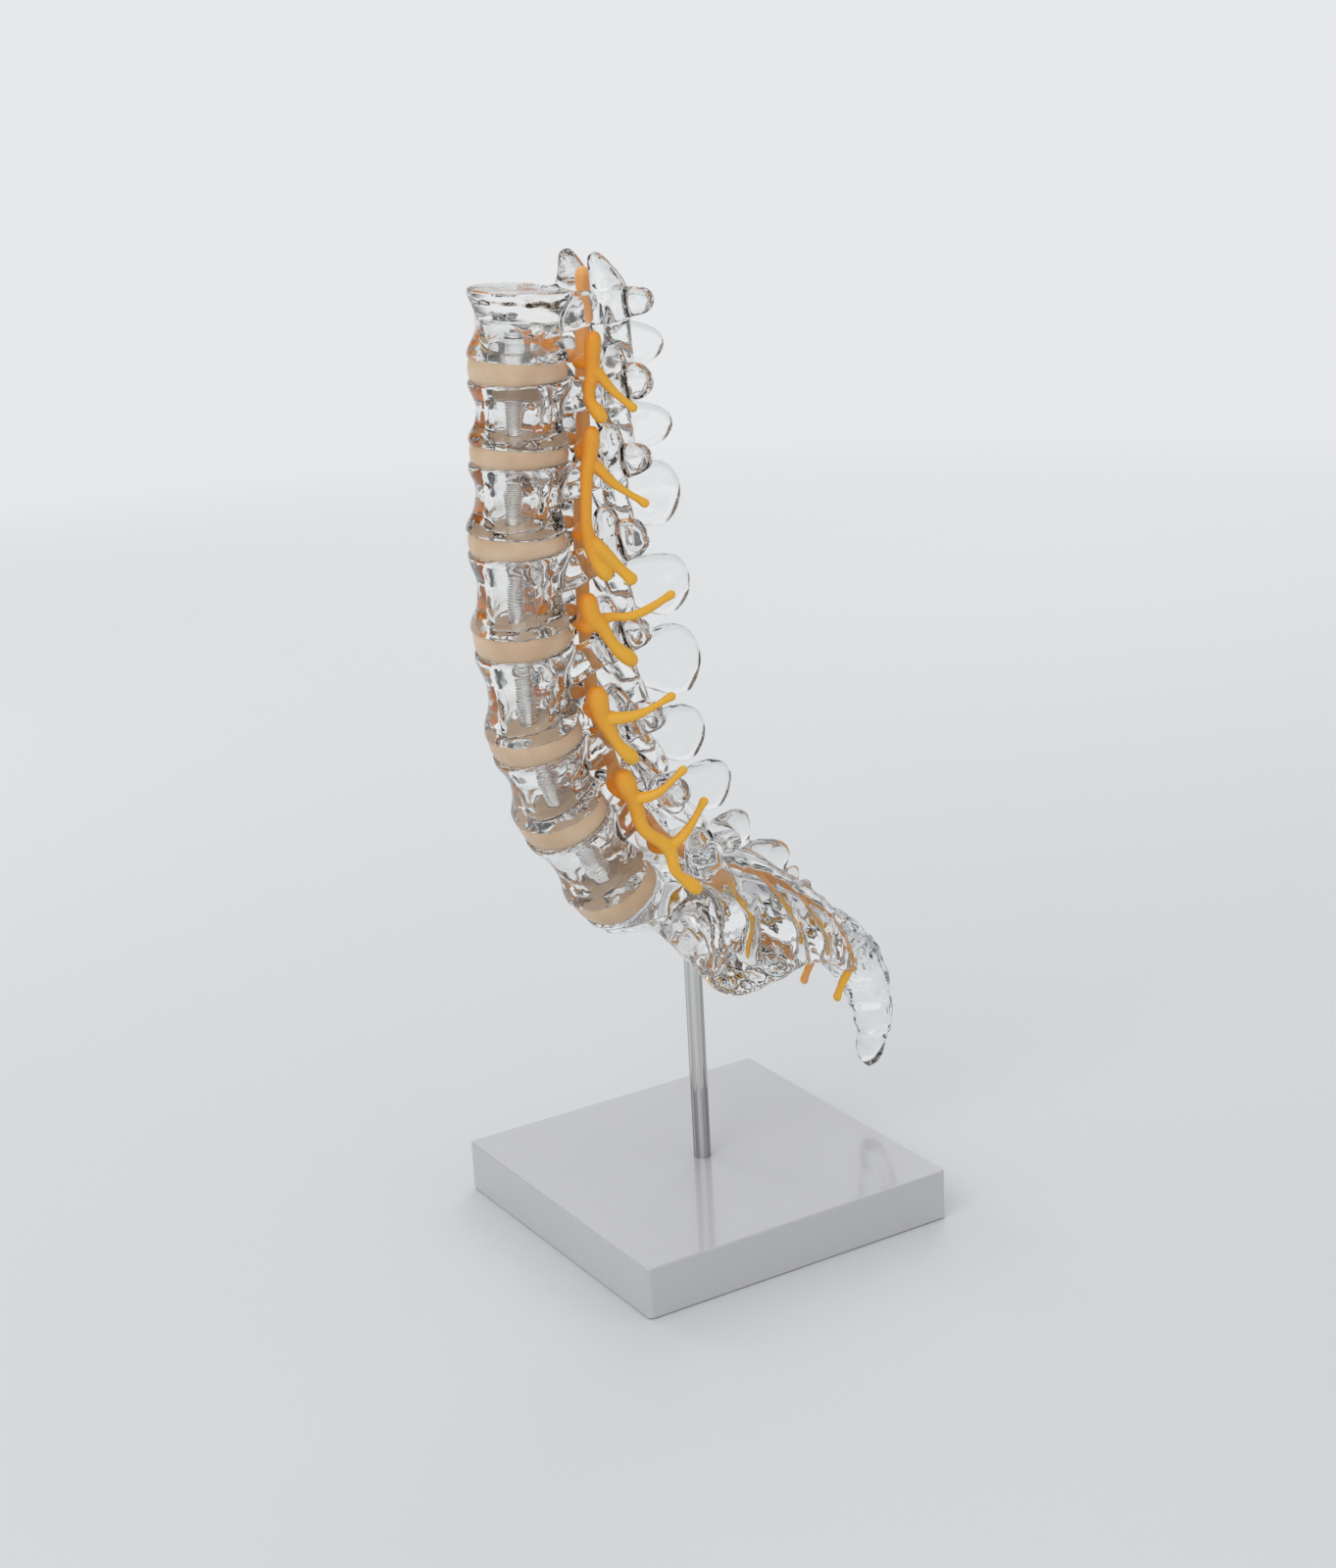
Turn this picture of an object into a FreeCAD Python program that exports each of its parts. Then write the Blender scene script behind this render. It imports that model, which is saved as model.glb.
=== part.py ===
import FreeCAD, Part
import Sketcher
import math
import os

from FreeCAD import Base

Vector = Base.Vector

# Clear lumbar spine model on a stand, millimetres, +Z up.
# The origin is the centre of the base's underside. The front of the spine faces -Y
# and its left side faces +X. Every level is stacked on the one below it, so a change
# of one height moves all that stands on it.

LEVELS = ["l5", "l4", "l3", "l2", "l1", "t12", "t11"]
BELOW = {"l5": "s1", "l4": "l5", "l3": "l4", "l2": "l3", "l1": "l2", "t12": "l1", "t11": "t12"}
SIDES = {"left": 1, "right": -1}

# Driving dimensions

DIMENSIONS = {
    "base_width": 137.2,
    "base_depth": 134.6,
    "base_height": 20.3,
    "base_corner": 2.0,
    "base_edge": 0.8,
    "post_diameter": 6.8,
    "post_tail_diameter": 5.9,
    "post_top_drop": 9.0,
    "post_seat_clearance": 0.1,
    "post_tail_length": 14.0,
    "nut_across_flats": 10.0,
    "nut_height": 5.0,
    "nut_clearance": 0.15,
    "plate_back": -30.7,
    "plate_up": 139.0,
    "body_half_width": 21.0,
    "body_half_depth": 17.0,
    "body_waist": 0.85,
    "body_back_flat": 0.16,
    "disc_inset": 0.9,
    "disc_bulge": 0.7,
    "bore_diameter": 15.9,
    "rod_diameter": 6.4,
    "rod_clearance": 0.15,
    "rod_foot": 12.0,
    "socket_diameter": 19.5,
    "socket_depth": 14.0,
    "rod_washer_diameter": 17.6,
    "rod_washer_thickness": 1.6,
    "rod_over_nut": 2.4,
    "spigot_length": 4.0,
    "spigot_clearance": 0.25,
    "plate_dish": 1.2,
    "dish_diameter": 27.0,
    "canal_back": 25.5,
    "canal_mouth_rise": 8.0,
    "cord_diameter": 5.2,
    "pedicle_side": 12.6,
    "pedicle_half_width": 3.8,
    "pedicle_half_height": 6.2,
    "knob_side": 24.0,
    "arch_back": 36.0,
    "arch_half_height": 8.0,
    "arch_half_thickness": 2.8,
    "blade_thickness": 6.0,
    "blade_edge": 2.3,
    "blade_root": 2.5,
    "cord_gap": 0.3,
    "cord_rise": 5.0,
    "sacral_nerve_diameter": 3.4,
    "sacral_nerve_clearance": 0.5,
    "sacral_nerve_root": 2.4,
    "foramen_run": 12.0,
    "foramen_back_run": 40.0,
    "foramen_back_share": 0.65,
}

# For each level, going up: the disc under it, then the bone on that disc
LEVEL_DIMENSIONS = {
    "disc_height": [7.5, 6.8, 6.5, 6.8, 5.8, 5.5, 6.3],
    "disc_tilt": [38.0, 29.0, 18.0, 7.0, 2.0, -1.0, -2.0],
    "disc_wedge": [6.0, 7.0, 6.0, 6.0, 6.0, 5.0, 6.0],
    "body_height": [30.7, 25.9, 30.6, 28.8, 25.5, 23.2, 24.4],
    "body_lean": [30.2, 13.7, 2.4, -2.4, -7.1, -3.8, -5.4],
    "spine_reach": [62.6, 64.6, 71.0, 69.8, 66.3, 62.3, 59.0],
    "spine_crown": [-9.5, -8.0, -1.5, -2.5, 4.0, -3.5, -2.0],
    "spine_foot": [-28.5, -29.5, -28.0, -25.0, -20.0, -19.0, -16.5],
    "knob_back": [33.5, 36.5, 35.5, 35.0, 35.0, 34.5, 34.0],
    "knob_up": [5.0, 7.5, 11.5, 14.0, 11.5, 9.5, 9.0],
    "knob_half_height": [6.6, 6.4, 6.0, 7.2, 5.6, 6.4, 5.0],
    "upper_process": [8.5, 8.5, 9.0, 9.0, 8.5, 8.0, 10.6],
    "lower_process": [8.0, 8.5, 9.0, 9.0, 8.5, 8.0, 7.4],
}
TOP_PLATE_TILT = -4.0

doc = FreeCAD.newDocument("SpineModel")
sheet = doc.addObject("Spreadsheet::Sheet", "Dimensions")


def fill_sheet():
    rows = dict(DIMENSIONS)
    for name, values in LEVEL_DIMENSIONS.items():
        for level, value in zip(LEVELS, values):
            rows[name + "_" + level] = value
    rows["top_plate_tilt"] = TOP_PLATE_TILT
    for row, (name, value) in enumerate(rows.items(), start=1):
        sheet.set("A%d" % row, name)
        sheet.set("B%d" % row, str(value))
        sheet.setAlias("B%d" % row, name)
    doc.recompute()


def size(name):
    return float(getattr(sheet, name))


# Profiles and stations, each table with its columns named above it

# share of the reach of a round end, share of the section there
LIMB_CAP = [(0.3, 0.82), (0.62, 0.42)]
# an end this many times its reach away from its neighbour is held by one more section
LONG_RUN = 4.0

# share of the height, share of the waist
WAIST_PROFILE = [(0.0, 0.0), (0.1, -0.03), (0.28, 0.72), (0.5, 1.0), (0.72, 0.72), (0.9, -0.03), (1.0, 0.0)]

# share of the height, share of the bulge
BULGE_PROFILE = [(0.0, 0.0), (0.25, 0.8), (0.5, 1.0), (0.75, 0.8), (1.0, 0.0)]

# side, forward of the arch's back, up, share of the half height, share of the half thickness
ARCH_STATIONS = [
    (-10.0, 4.4, -1.4, 0.8, 1.0),
    (-6.0, 1.8, -2.6, 1.0, 1.0),
    (0.0, 0.0, -3.4, 1.05, 1.1),
    (6.0, 1.8, -2.6, 1.0, 1.0),
    (10.0, 4.4, -1.4, 0.8, 1.0),
]

# share of the root (the rest is the tip's reach), back, share of the crown, share of the foot, up
BLADE_OUTLINE = [
    (1.0, 0.0, 0.0, 0.0, 2.0),
    (0.55, 0.0, 0.7, 0.0, 1.0),
    (0.0, -8.0, 1.0, 0.0, 0.0),
    (0.0, -1.5, 0.73, 0.27, 0.0),
    (0.0, -1.2, 0.33, 0.67, 0.0),
    (0.0, -7.5, 0.0, 1.0, 0.6),
    (0.0, -17.0, 0.0, 1.0, 1.6),
    (1.0, 0.0, 0.0, 0.0, -9.0),
]
BLADE_LAYERS = [-1.0, -0.72, -0.3, 0.3, 0.72, 1.0]

# share of a bone's height that the tool for its bore reaches past each plate
BORE_PAST = 0.1

# out from the pedicle's middle, back, up, share of the knob's height, wider by
PEDICLE_STATIONS = [
    (-0.8, 9.0, 4.6, 0.0, 0.0),
    (0.0, 19.0, 5.4, 0.0, 0.0),
    (2.4, 27.0, 4.0, 0.3, 0.4),
]

# how much wider than the pedicle the neck before the knob is
NECK_WIDER = 0.3

# out from the knob's middle, back, up, share of the half height, half width
KNOB_STATIONS = [
    (0.0, 0.0, 0.0, 1.0, 4.4),
    (2.6, 1.4, 0.3, 0.82, 3.8),
]

# side, back, up from the upper plate, share of the process's rise, half width, half depth
UPPER_STATIONS = [
    (15.8, 28.8, 0.0, 1.0, 3.4, 4.0),
    (16.0, 29.4, 0.0, 0.3, 4.4, 5.2),
    (14.8, 30.4, -6.0, 0.0, 5.0, 5.6),
]
TOP_UPPER_STATIONS = [
    (9.8, 24.0, 0.0, 1.0, 2.4, 2.6),
    (11.0, 26.5, 0.0, 0.5, 3.8, 5.0),
    (13.0, 29.0, -2.0, 0.0, 4.6, 7.0),
]

# side, back, up from the lower plate, share of the process's drop, half width, half depth
LOWER_STATIONS = [
    (10.4, 34.8, 4.0, 0.0, 4.8, 4.2),
    (8.8, 36.8, 0.0, 0.5, 4.4, 3.8),
    (8.4, 37.4, 0.0, 1.0, 3.6, 3.0),
]

# side, back, up, half width, half depth of the isthmus between the two processes
ISTHMUS_STATION = (12.8, 31.8, 0.0, 5.0, 4.8)


# Frames of the stack

class Frame:
    """A place in the YZ plane with a tilt: back is its local Y and up its local Z."""

    def __init__(self, back, up, tilt):
        self.origin = Vector(0, back, up)
        self.tilt = tilt

    def direction(self):
        angle = math.radians(self.tilt)
        return Vector(0, -math.sin(angle), math.cos(angle))

    def point(self, side, back, up):
        angle = math.radians(self.tilt)
        across = Vector(0, math.cos(angle), math.sin(angle))
        return self.origin + Vector(side, 0, 0) + across * back + self.direction() * up

    def local(self, point):
        angle = math.radians(self.tilt)
        offset = point - self.origin
        across = Vector(0, math.cos(angle), math.sin(angle))
        return Vector(offset.x, offset.dot(across), offset.dot(self.direction()))

    def placement(self):
        return FreeCAD.Placement(self.origin, FreeCAD.Rotation(Vector(1, 0, 0), self.tilt))


def step(origin, tilt, distance):
    angle = math.radians(tilt)
    return origin + Vector(0, -math.sin(angle), math.cos(angle)) * distance


def stack_frames():
    """Frames of the discs, of the bones and of each plate, from the sacral plate up."""
    discs = {}
    bones = {}
    plates = {}
    foot = Vector(0, size("plate_back"), size("plate_up"))
    for index, level in enumerate(LEVELS):
        tilt = size("disc_tilt_" + level)
        wedge = size("disc_wedge_" + level)
        height = size("disc_height_" + level)
        top = step(foot, tilt, height)
        middle = (foot + top) * 0.5
        discs[level] = Frame(middle.y, middle.z, tilt)
        plates[level, "disc_foot"] = Frame(foot.y, foot.z, tilt + wedge / 2)
        plates[level, "disc_top"] = Frame(top.y, top.z, tilt - wedge / 2)
        crown = step(top, size("body_lean_" + level), size("body_height_" + level))
        if index + 1 < len(LEVELS):
            above = LEVELS[index + 1]
            crown_tilt = size("disc_tilt_" + above) + size("disc_wedge_" + above) / 2
        else:
            crown_tilt = size("top_plate_tilt")
        plates[level, "bone_top"] = Frame(crown.y, crown.z, crown_tilt)
        middle = (top + crown) * 0.5
        bones[level] = Frame(middle.y, middle.z, (tilt - wedge / 2 + crown_tilt) / 2)
        foot = crown
    return discs, bones, plates


# Shared shapes

def closed_curve(points):
    """A smooth closed wire through points that are evenly spaced along the curve."""
    count = len(points)
    curve = Part.BSplineCurve()
    marks = [index / count for index in range(count + 1)]
    curve.interpolate(Points=points, PeriodicFlag=True, Parameters=marks)
    return Part.Wire([curve.toShape()])


def loft(wires):
    solid = Part.makeLoft(wires, True, False)
    if solid.Volume < 0:
        solid.reverse()
    return solid


def ring(centre, across, along, half_across, half_along, count=8):
    points = []
    for index in range(count):
        angle = 2 * math.pi * index / count
        points.append(centre + across * (half_across * math.cos(angle))
                      + along * (half_along * math.sin(angle)))
    return closed_curve(points)


def limb(stations, across):
    """A smooth round-ended limb through stations of (centre, half width, half height).

    The half width lies along the given direction, the half height square to it.
    """
    centres = [Vector(*station[0]) for station in stations]
    wires = []
    last = len(stations) - 1
    for index, (centre, station) in enumerate(zip(centres, stations)):
        before = centres[max(index - 1, 0)]
        after = centres[min(index + 1, last)]
        run = (after - before).normalize()
        wide = (across - run * across.dot(run)).normalize()
        high = run.cross(wide)
        half_width = station[1]
        half_height = station[2]
        reach = min(half_width, half_height)
        if index == 0:
            for share, scale in reversed(LIMB_CAP):
                wires.append(ring(centre - run * (share * reach), wide, high,
                                  scale * half_width, scale * half_height))
        held = (after - before).Length > LONG_RUN * reach
        if index == last and held:
            wires.append(ring(centre - run * reach, wide, high, half_width, half_height))
        wires.append(ring(centre, wide, high, half_width, half_height))
        if index == 0 and held:
            wires.append(ring(centre + run * reach, wide, high, half_width, half_height))
        if index == last:
            for share, scale in LIMB_CAP:
                wires.append(ring(centre + run * (share * reach), wide, high,
                                  scale * half_width, scale * half_height))
    return loft(wires)


def body_outline(frame, scale, extra=0.0, count=20):
    """The kidney-shaped outline of a bone or disc on the plane of a frame."""
    half_width = size("body_half_width") * scale + extra
    half_depth = size("body_half_depth") * scale + extra
    flat = size("body_back_flat")
    points = []
    for index in range(count):
        angle = 2 * math.pi * index / count
        side = half_width * math.cos(angle)
        back = half_depth * math.sin(angle)
        if back > 0:
            back = back * (1 - flat * math.sin(angle) ** 4)
        points.append(frame.point(side, back, 0))
    return closed_curve(points)


def between(lower, upper, share):
    """The frame at a share of the way from one plate to the other."""
    middle = lower.origin + (upper.origin - lower.origin) * share
    tilt = lower.tilt + (upper.tilt - lower.tilt) * share
    return Frame(middle.y, middle.z, tilt)


def drill(start, end, diameter):
    run = end - start
    return Part.makeCylinder(diameter / 2, run.Length, start, run)


def feature(name, shape, frame=None):
    """A document object that holds a shape given in a frame's own axes."""
    item = doc.addObject("Part::Feature", name)
    item.Label = name
    item.Shape = shape
    if frame is not None:
        item.Placement = frame.placement()
    return item


def in_frame(frame, other):
    """A frame written in the axes of another one."""
    spot = frame.local(other.origin)
    return Frame(spot.y, spot.z, other.tilt - frame.tilt)


# Stand

def role_plane(body, role):
    for item in body.Origin.OriginFeatures:
        if item.Role == role:
            return item
    raise RuntimeError("no plane " + role)


def sketch_on(body, name, plane, lift=None):
    sketch = body.newObject("Sketcher::SketchObject", name)
    sketch.AttachmentSupport = (plane, [""])
    sketch.MapMode = "FlatFace"
    if lift is not None:
        sketch.setExpression("AttachmentOffset.Base.z", lift)
    return sketch


def circle_sketch(body, name, plane, diameter, lift=None):
    sketch = sketch_on(body, name, plane, lift)
    sketch.addGeometry(Part.Circle(Vector(0, 0, 0), Vector(0, 0, 1), 1), False)
    sketch.addConstraint(Sketcher.Constraint("Coincident", 0, 3, -1, 1))
    sketch.addConstraint(Sketcher.Constraint("Diameter", 0, 2))
    sketch.setExpression("Constraints[1]", diameter)
    return sketch


def make_base():
    body = doc.addObject("PartDesign::Body", "base_plate")
    body.Label = "base_plate"
    plane = role_plane(body, "XY_Plane")
    outline = sketch_on(body, "base_outline", plane)
    width = size("base_width")
    depth = size("base_depth")
    corners = [Vector(across * width / 2, along * depth / 2, 0)
               for across, along in ((-1, -1), (1, -1), (1, 1), (-1, 1))]
    for index in range(4):
        outline.addGeometry(Part.LineSegment(corners[index], corners[(index + 1) % 4]), False)
    for index in range(4):
        outline.addConstraint(Sketcher.Constraint("Coincident", index, 2, (index + 1) % 4, 1))
    outline.addConstraint(Sketcher.Constraint("Horizontal", 0))
    outline.addConstraint(Sketcher.Constraint("Horizontal", 2))
    outline.addConstraint(Sketcher.Constraint("Vertical", 1))
    outline.addConstraint(Sketcher.Constraint("Vertical", 3))
    outline.addConstraint(Sketcher.Constraint("Symmetric", 0, 1, 1, 2, -1, 1))
    outline.addConstraint(Sketcher.Constraint("DistanceX", 0, 1, 0, 2, width))
    outline.setExpression("Constraints[9]", "Dimensions.base_width")
    outline.addConstraint(Sketcher.Constraint("DistanceY", 1, 1, 1, 2, depth))
    outline.setExpression("Constraints[10]", "Dimensions.base_depth")
    pad = body.newObject("PartDesign::Pad", "base_block")
    pad.Profile = outline
    pad.setExpression("Length", "Dimensions.base_height")
    doc.recompute()
    rounding = body.newObject("PartDesign::Fillet", "base_corners")
    upright = []
    for index, edge in enumerate(pad.Shape.Edges, start=1):
        if abs(edge.tangentAt(edge.FirstParameter).z) > 0.99:
            upright.append("Edge%d" % index)
    rounding.Base = (pad, upright)
    rounding.setExpression("Radius", "Dimensions.base_corner")
    doc.recompute()
    easing = body.newObject("PartDesign::Fillet", "base_edges")
    level_edges = []
    for index, edge in enumerate(rounding.Shape.Edges, start=1):
        if edge.BoundBox.ZLength < 0.01:
            level_edges.append("Edge%d" % index)
    easing.Base = (rounding, level_edges)
    easing.setExpression("Radius", "Dimensions.base_edge")
    doc.recompute()
    hole = body.newObject("PartDesign::Pocket", "post_hole")
    hole.Profile = circle_sketch(body, "post_hole_circle", plane,
                                 "Dimensions.post_tail_diameter + 2 * Dimensions.post_seat_clearance",
                                 "Dimensions.base_height")
    hole.setExpression("Length", "Dimensions.post_tail_length + Dimensions.post_seat_clearance")
    doc.recompute()
    return body


def make_post():
    """The post stands on the base with its shoulder, and its tail is screwed into the base."""
    tail = doc.addObject("Part::Cylinder", "post_tail")
    tail.setExpression("Radius", "Dimensions.post_tail_diameter / 2")
    tail.setExpression("Height", "Dimensions.post_tail_length")
    tail.setExpression("Placement.Base.z", "Dimensions.base_height - Dimensions.post_tail_length")
    shank = doc.addObject("Part::Cylinder", "post_shank")
    shank.setExpression("Radius", "Dimensions.post_diameter / 2")
    shank.setExpression("Height", "Dimensions.plate_up - Dimensions.post_top_drop"
                        " - Dimensions.base_height")
    shank.setExpression("Placement.Base.z", "Dimensions.base_height")
    post = doc.addObject("Part::Fuse", "support_post")
    post.Label = "support_post"
    post.Base = shank
    post.Tool = tail
    return post


def make_washer(name, outer, inner, thickness, frame):
    disc = doc.addObject("Part::Cylinder", name + "_blank")
    disc.setExpression("Radius", "Dimensions.%s / 2" % outer)
    disc.setExpression("Height", "Dimensions." + thickness)
    hole = doc.addObject("Part::Cylinder", name + "_hole")
    hole.setExpression("Radius", "Dimensions.%s / 2 + Dimensions.nut_clearance" % inner)
    hole.setExpression("Height", "Dimensions." + thickness)
    washer = doc.addObject("Part::Cut", name)
    washer.Label = name
    washer.Base = disc
    washer.Tool = hole
    washer.Placement = frame.placement()
    return washer


def make_nut(name, inner, frame):
    """A hexagon nut with a plain bore for the thread."""
    body = doc.addObject("PartDesign::Body", name)
    body.Label = name
    plane = role_plane(body, "XY_Plane")
    hexagon = sketch_on(body, name + "_hexagon", plane)
    reach = size("nut_across_flats") / 2 / math.cos(math.radians(30))
    corner = [Vector(reach * math.cos(math.radians(60 * index)),
                     reach * math.sin(math.radians(60 * index)), 0) for index in range(6)]
    for index in range(6):
        hexagon.addGeometry(Part.LineSegment(corner[index], corner[(index + 1) % 6]), False)
    hexagon.addGeometry(Part.Circle(Vector(0, 0, 0), Vector(0, 0, 1), reach), True)
    hexagon.addConstraint(Sketcher.Constraint("Coincident", 6, 3, -1, 1))
    for index in range(6):
        hexagon.addConstraint(Sketcher.Constraint("Coincident", index, 2, (index + 1) % 6, 1))
        hexagon.addConstraint(Sketcher.Constraint("PointOnObject", index, 1, 6))
    for index in range(1, 6):
        hexagon.addConstraint(Sketcher.Constraint("Equal", 0, index))
    hexagon.addConstraint(Sketcher.Constraint("PointOnObject", 0, 1, -1))
    last = hexagon.addConstraint(Sketcher.Constraint("Diameter", 6, 2 * reach))
    hexagon.setExpression("Constraints[%d]" % last, "Dimensions.nut_across_flats / cos(30 deg)")
    pad = body.newObject("PartDesign::Pad", name + "_block")
    pad.Profile = hexagon
    pad.setExpression("Length", "Dimensions.nut_height")
    doc.recompute()
    bore = body.newObject("PartDesign::Pocket", name + "_bore")
    bore.Profile = circle_sketch(body, name + "_circle", plane,
                                 "Dimensions.%s + 2 * Dimensions.nut_clearance" % inner)
    bore.Type = 1
    bore.Reversed = True
    doc.recompute()
    body.Placement = frame.placement()
    return body


# Core rod

BEND_SHARE = 0.45


def rounded_path(points):
    """Straight runs joined by tangent arcs, each arc as large as its two runs allow."""
    edges = []
    start = points[0]
    for index in range(1, len(points) - 1):
        corner = points[index]
        before = points[index - 1] - corner
        after = points[index + 1] - corner
        tangent = BEND_SHARE * min(before.Length, after.Length)
        before = before.normalize()
        after = after.normalize()
        turn = math.pi - before.getAngle(after)
        radius = tangent / math.tan(turn / 2)
        inward = (before + after).normalize()
        middle = corner + inward * (radius / math.cos(turn / 2) - radius)
        first = corner + before * tangent
        second = corner + after * tangent
        edges.append(Part.LineSegment(start, first).toShape())
        edges.append(Part.Arc(first, middle, second).toShape())
        start = second
    edges.append(Part.LineSegment(start, points[-1]).toShape())
    return Part.Wire(edges)


def rod_solid(path, diameter):
    start = path.Edges[0]
    circle = Part.Circle(start.Vertexes[0].Point, start.tangentAt(start.FirstParameter), diameter / 2)
    rod = path.makePipeShell([Part.Wire([circle.toShape()])], True, False)
    section = math.pi * diameter ** 2 / 4
    if abs(rod.Volume - section * path.Length) > 0.01 * rod.Volume:
        raise RuntimeError("the rod's volume is off")
    return rod


def rod_path(discs, plates):
    top = plates[LEVELS[-1], "disc_top"]
    over = size("rod_washer_thickness") + size("nut_height") + size("rod_over_nut")
    points = [plates[LEVELS[0], "disc_foot"].point(0, 0, -size("rod_foot"))]
    for level in LEVELS[:-1]:
        points.append(discs[level].origin)
    points.append(top.origin)
    points.append(top.point(0, 0, over))
    return rounded_path(points)


# Discs and bones

def make_disc(level, discs, plates, rod_hole):
    frame = discs[level]
    lower = in_frame(frame, plates[level, "disc_foot"])
    upper = in_frame(frame, plates[level, "disc_top"])
    inset = size("disc_inset")
    bulge = size("disc_bulge")
    wires = []
    for share, puff in BULGE_PROFILE:
        wires.append(body_outline(between(lower, upper, share), 1.0, bulge * puff - inset))
    disc = loft(wires)
    if level == LEVELS[-1]:
        below = BELOW[level]
        run = frame.local(plates[below, "disc_top"].origin) - lower.origin
        run.normalize()
        start = lower.origin + run * size("spigot_length")
        end = lower.origin - run
        disc = disc.fuse(drill(start, end, size("bore_diameter") - 2 * size("spigot_clearance")))
    hole = rod_hole.transformed(frame.placement().inverse().toMatrix())
    return feature("disc_%s_%s" % (level, BELOW[level]), disc.cut(hole), frame)


def spinous_blade(level):
    """A flat blade that droops to the back, with its rim rounded on both faces."""
    root = size("arch_back") - size("blade_root")
    reach = size("spine_reach_" + level)
    crown = size("spine_crown_" + level)
    foot = size("spine_foot_" + level)
    outline = []
    for share, back, crown_share, foot_share, up in BLADE_OUTLINE:
        outline.append((share * root + (1 - share) * reach + back,
                        crown_share * crown + foot_share * foot + up))
    half = size("blade_thickness") / 2
    edge = size("blade_edge")
    middle_back = sum(back for back, up in outline) / len(outline)
    middle_up = sum(up for back, up in outline) / len(outline)
    wires = []
    for side in BLADE_LAYERS:
        inset = edge * (1 - math.sqrt(1 - min(abs(side), 0.98) ** 3))
        points = []
        for back, up in outline:
            offset = Vector(0, back - middle_back, up - middle_up)
            shrink = 1 - inset / offset.Length
            points.append(Vector(side * half, middle_back + offset.y * shrink,
                                 middle_up + offset.z * shrink))
        wires.append(closed_curve(points))
    return loft(wires)


def arch(level):
    """The lamina: a plate that bends round the back of the canal."""
    back = size("arch_back")
    thick = size("arch_half_thickness")
    high = size("arch_half_height")
    stations = []
    for side, forward, up, height_share, thickness_share in ARCH_STATIONS:
        stations.append(((side, back - forward, up), high * height_share, thick * thickness_share))
    return limb(stations, Vector(0, 0, 1))


def side_process(level, side):
    """The pedicle, and the knob of the transverse process that carries on from it."""
    back = size("knob_back_" + level)
    up = size("knob_up_" + level)
    high = size("knob_half_height_" + level)
    root = size("pedicle_half_height")
    wide = size("pedicle_half_width")
    stations = []
    for out, run, rise, share, wider in PEDICLE_STATIONS:
        stations.append(((side * (size("pedicle_side") + out), run, rise + share * up),
                         root, wide + wider))
    neck_back = (PEDICLE_STATIONS[-1][1] + back) / 2
    neck_side = (size("pedicle_side") + PEDICLE_STATIONS[-1][0] + size("knob_side")) / 2
    neck_up = (PEDICLE_STATIONS[-1][2] + (PEDICLE_STATIONS[-1][3] + 1) * up) / 2
    stations.append(((side * neck_side, neck_back, neck_up), (root + high) / 2, wide + NECK_WIDER))
    for out, run, rise, share, half_width in KNOB_STATIONS:
        stations.append(((side * (size("knob_side") + out), back + run, up + rise),
                         high * share, half_width))
    return limb(stations, Vector(0, 0, 1))


def articular_column(level, side, top, foot):
    """Upper process, isthmus and lower process of one side, as one column."""
    rise = size("upper_process_" + level)
    drop = size("lower_process_" + level)
    head = TOP_UPPER_STATIONS if level == LEVELS[-1] else UPPER_STATIONS
    stations = []
    for across, back, up, share, half_width, half_depth in head:
        stations.append(((side * across, back, top + up + rise * share), half_width, half_depth))
    across, back, up, half_width, half_depth = ISTHMUS_STATION
    stations.append(((side * across, back, up), half_width, half_depth))
    for across, back, up, share, half_width, half_depth in LOWER_STATIONS:
        stations.append(((side * across, back, foot + up - drop * share), half_width, half_depth))
    return limb(stations, Vector(1, 0, 0))


def make_bone(level, bones, plates):
    frame = bones[level]
    lower = in_frame(frame, plates[level, "disc_top"])
    upper = in_frame(frame, plates[level, "bone_top"])
    waist = size("body_waist")
    wires = []
    for share, swell in WAIST_PROFILE:
        wires.append(body_outline(between(lower, upper, share), 1 - (1 - waist) * swell))
    bone = loft(wires)
    if level == LEVELS[-1]:
        dish = size("plate_dish")
        radius = (size("dish_diameter") ** 2 / 4 + dish ** 2) / (2 * dish)
        bone = bone.cut(Part.makeSphere(radius, upper.point(0, 0, radius - dish)))
    top = upper.origin.z
    foot = lower.origin.z
    limbs = [arch(level), spinous_blade(level)]
    for side in SIDES.values():
        limbs.append(side_process(level, side))
        limbs.append(articular_column(level, side, top, foot))
    bone = bone.multiFuse(limbs)
    if level == LEVELS[-1]:
        start = lower.point(0, 0, -1)
        end = lower.point(0, 0, size("socket_depth"))
        bone = bone.cut(drill(start, end, size("socket_diameter")))
    else:
        past = (upper.origin - lower.origin) * BORE_PAST
        start = lower.origin - past
        end = upper.origin + past
        bone = bone.cut(drill(start, end, size("bore_diameter")))
    return feature("vertebra_" + level, bone, frame)


# Sacrum

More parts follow.
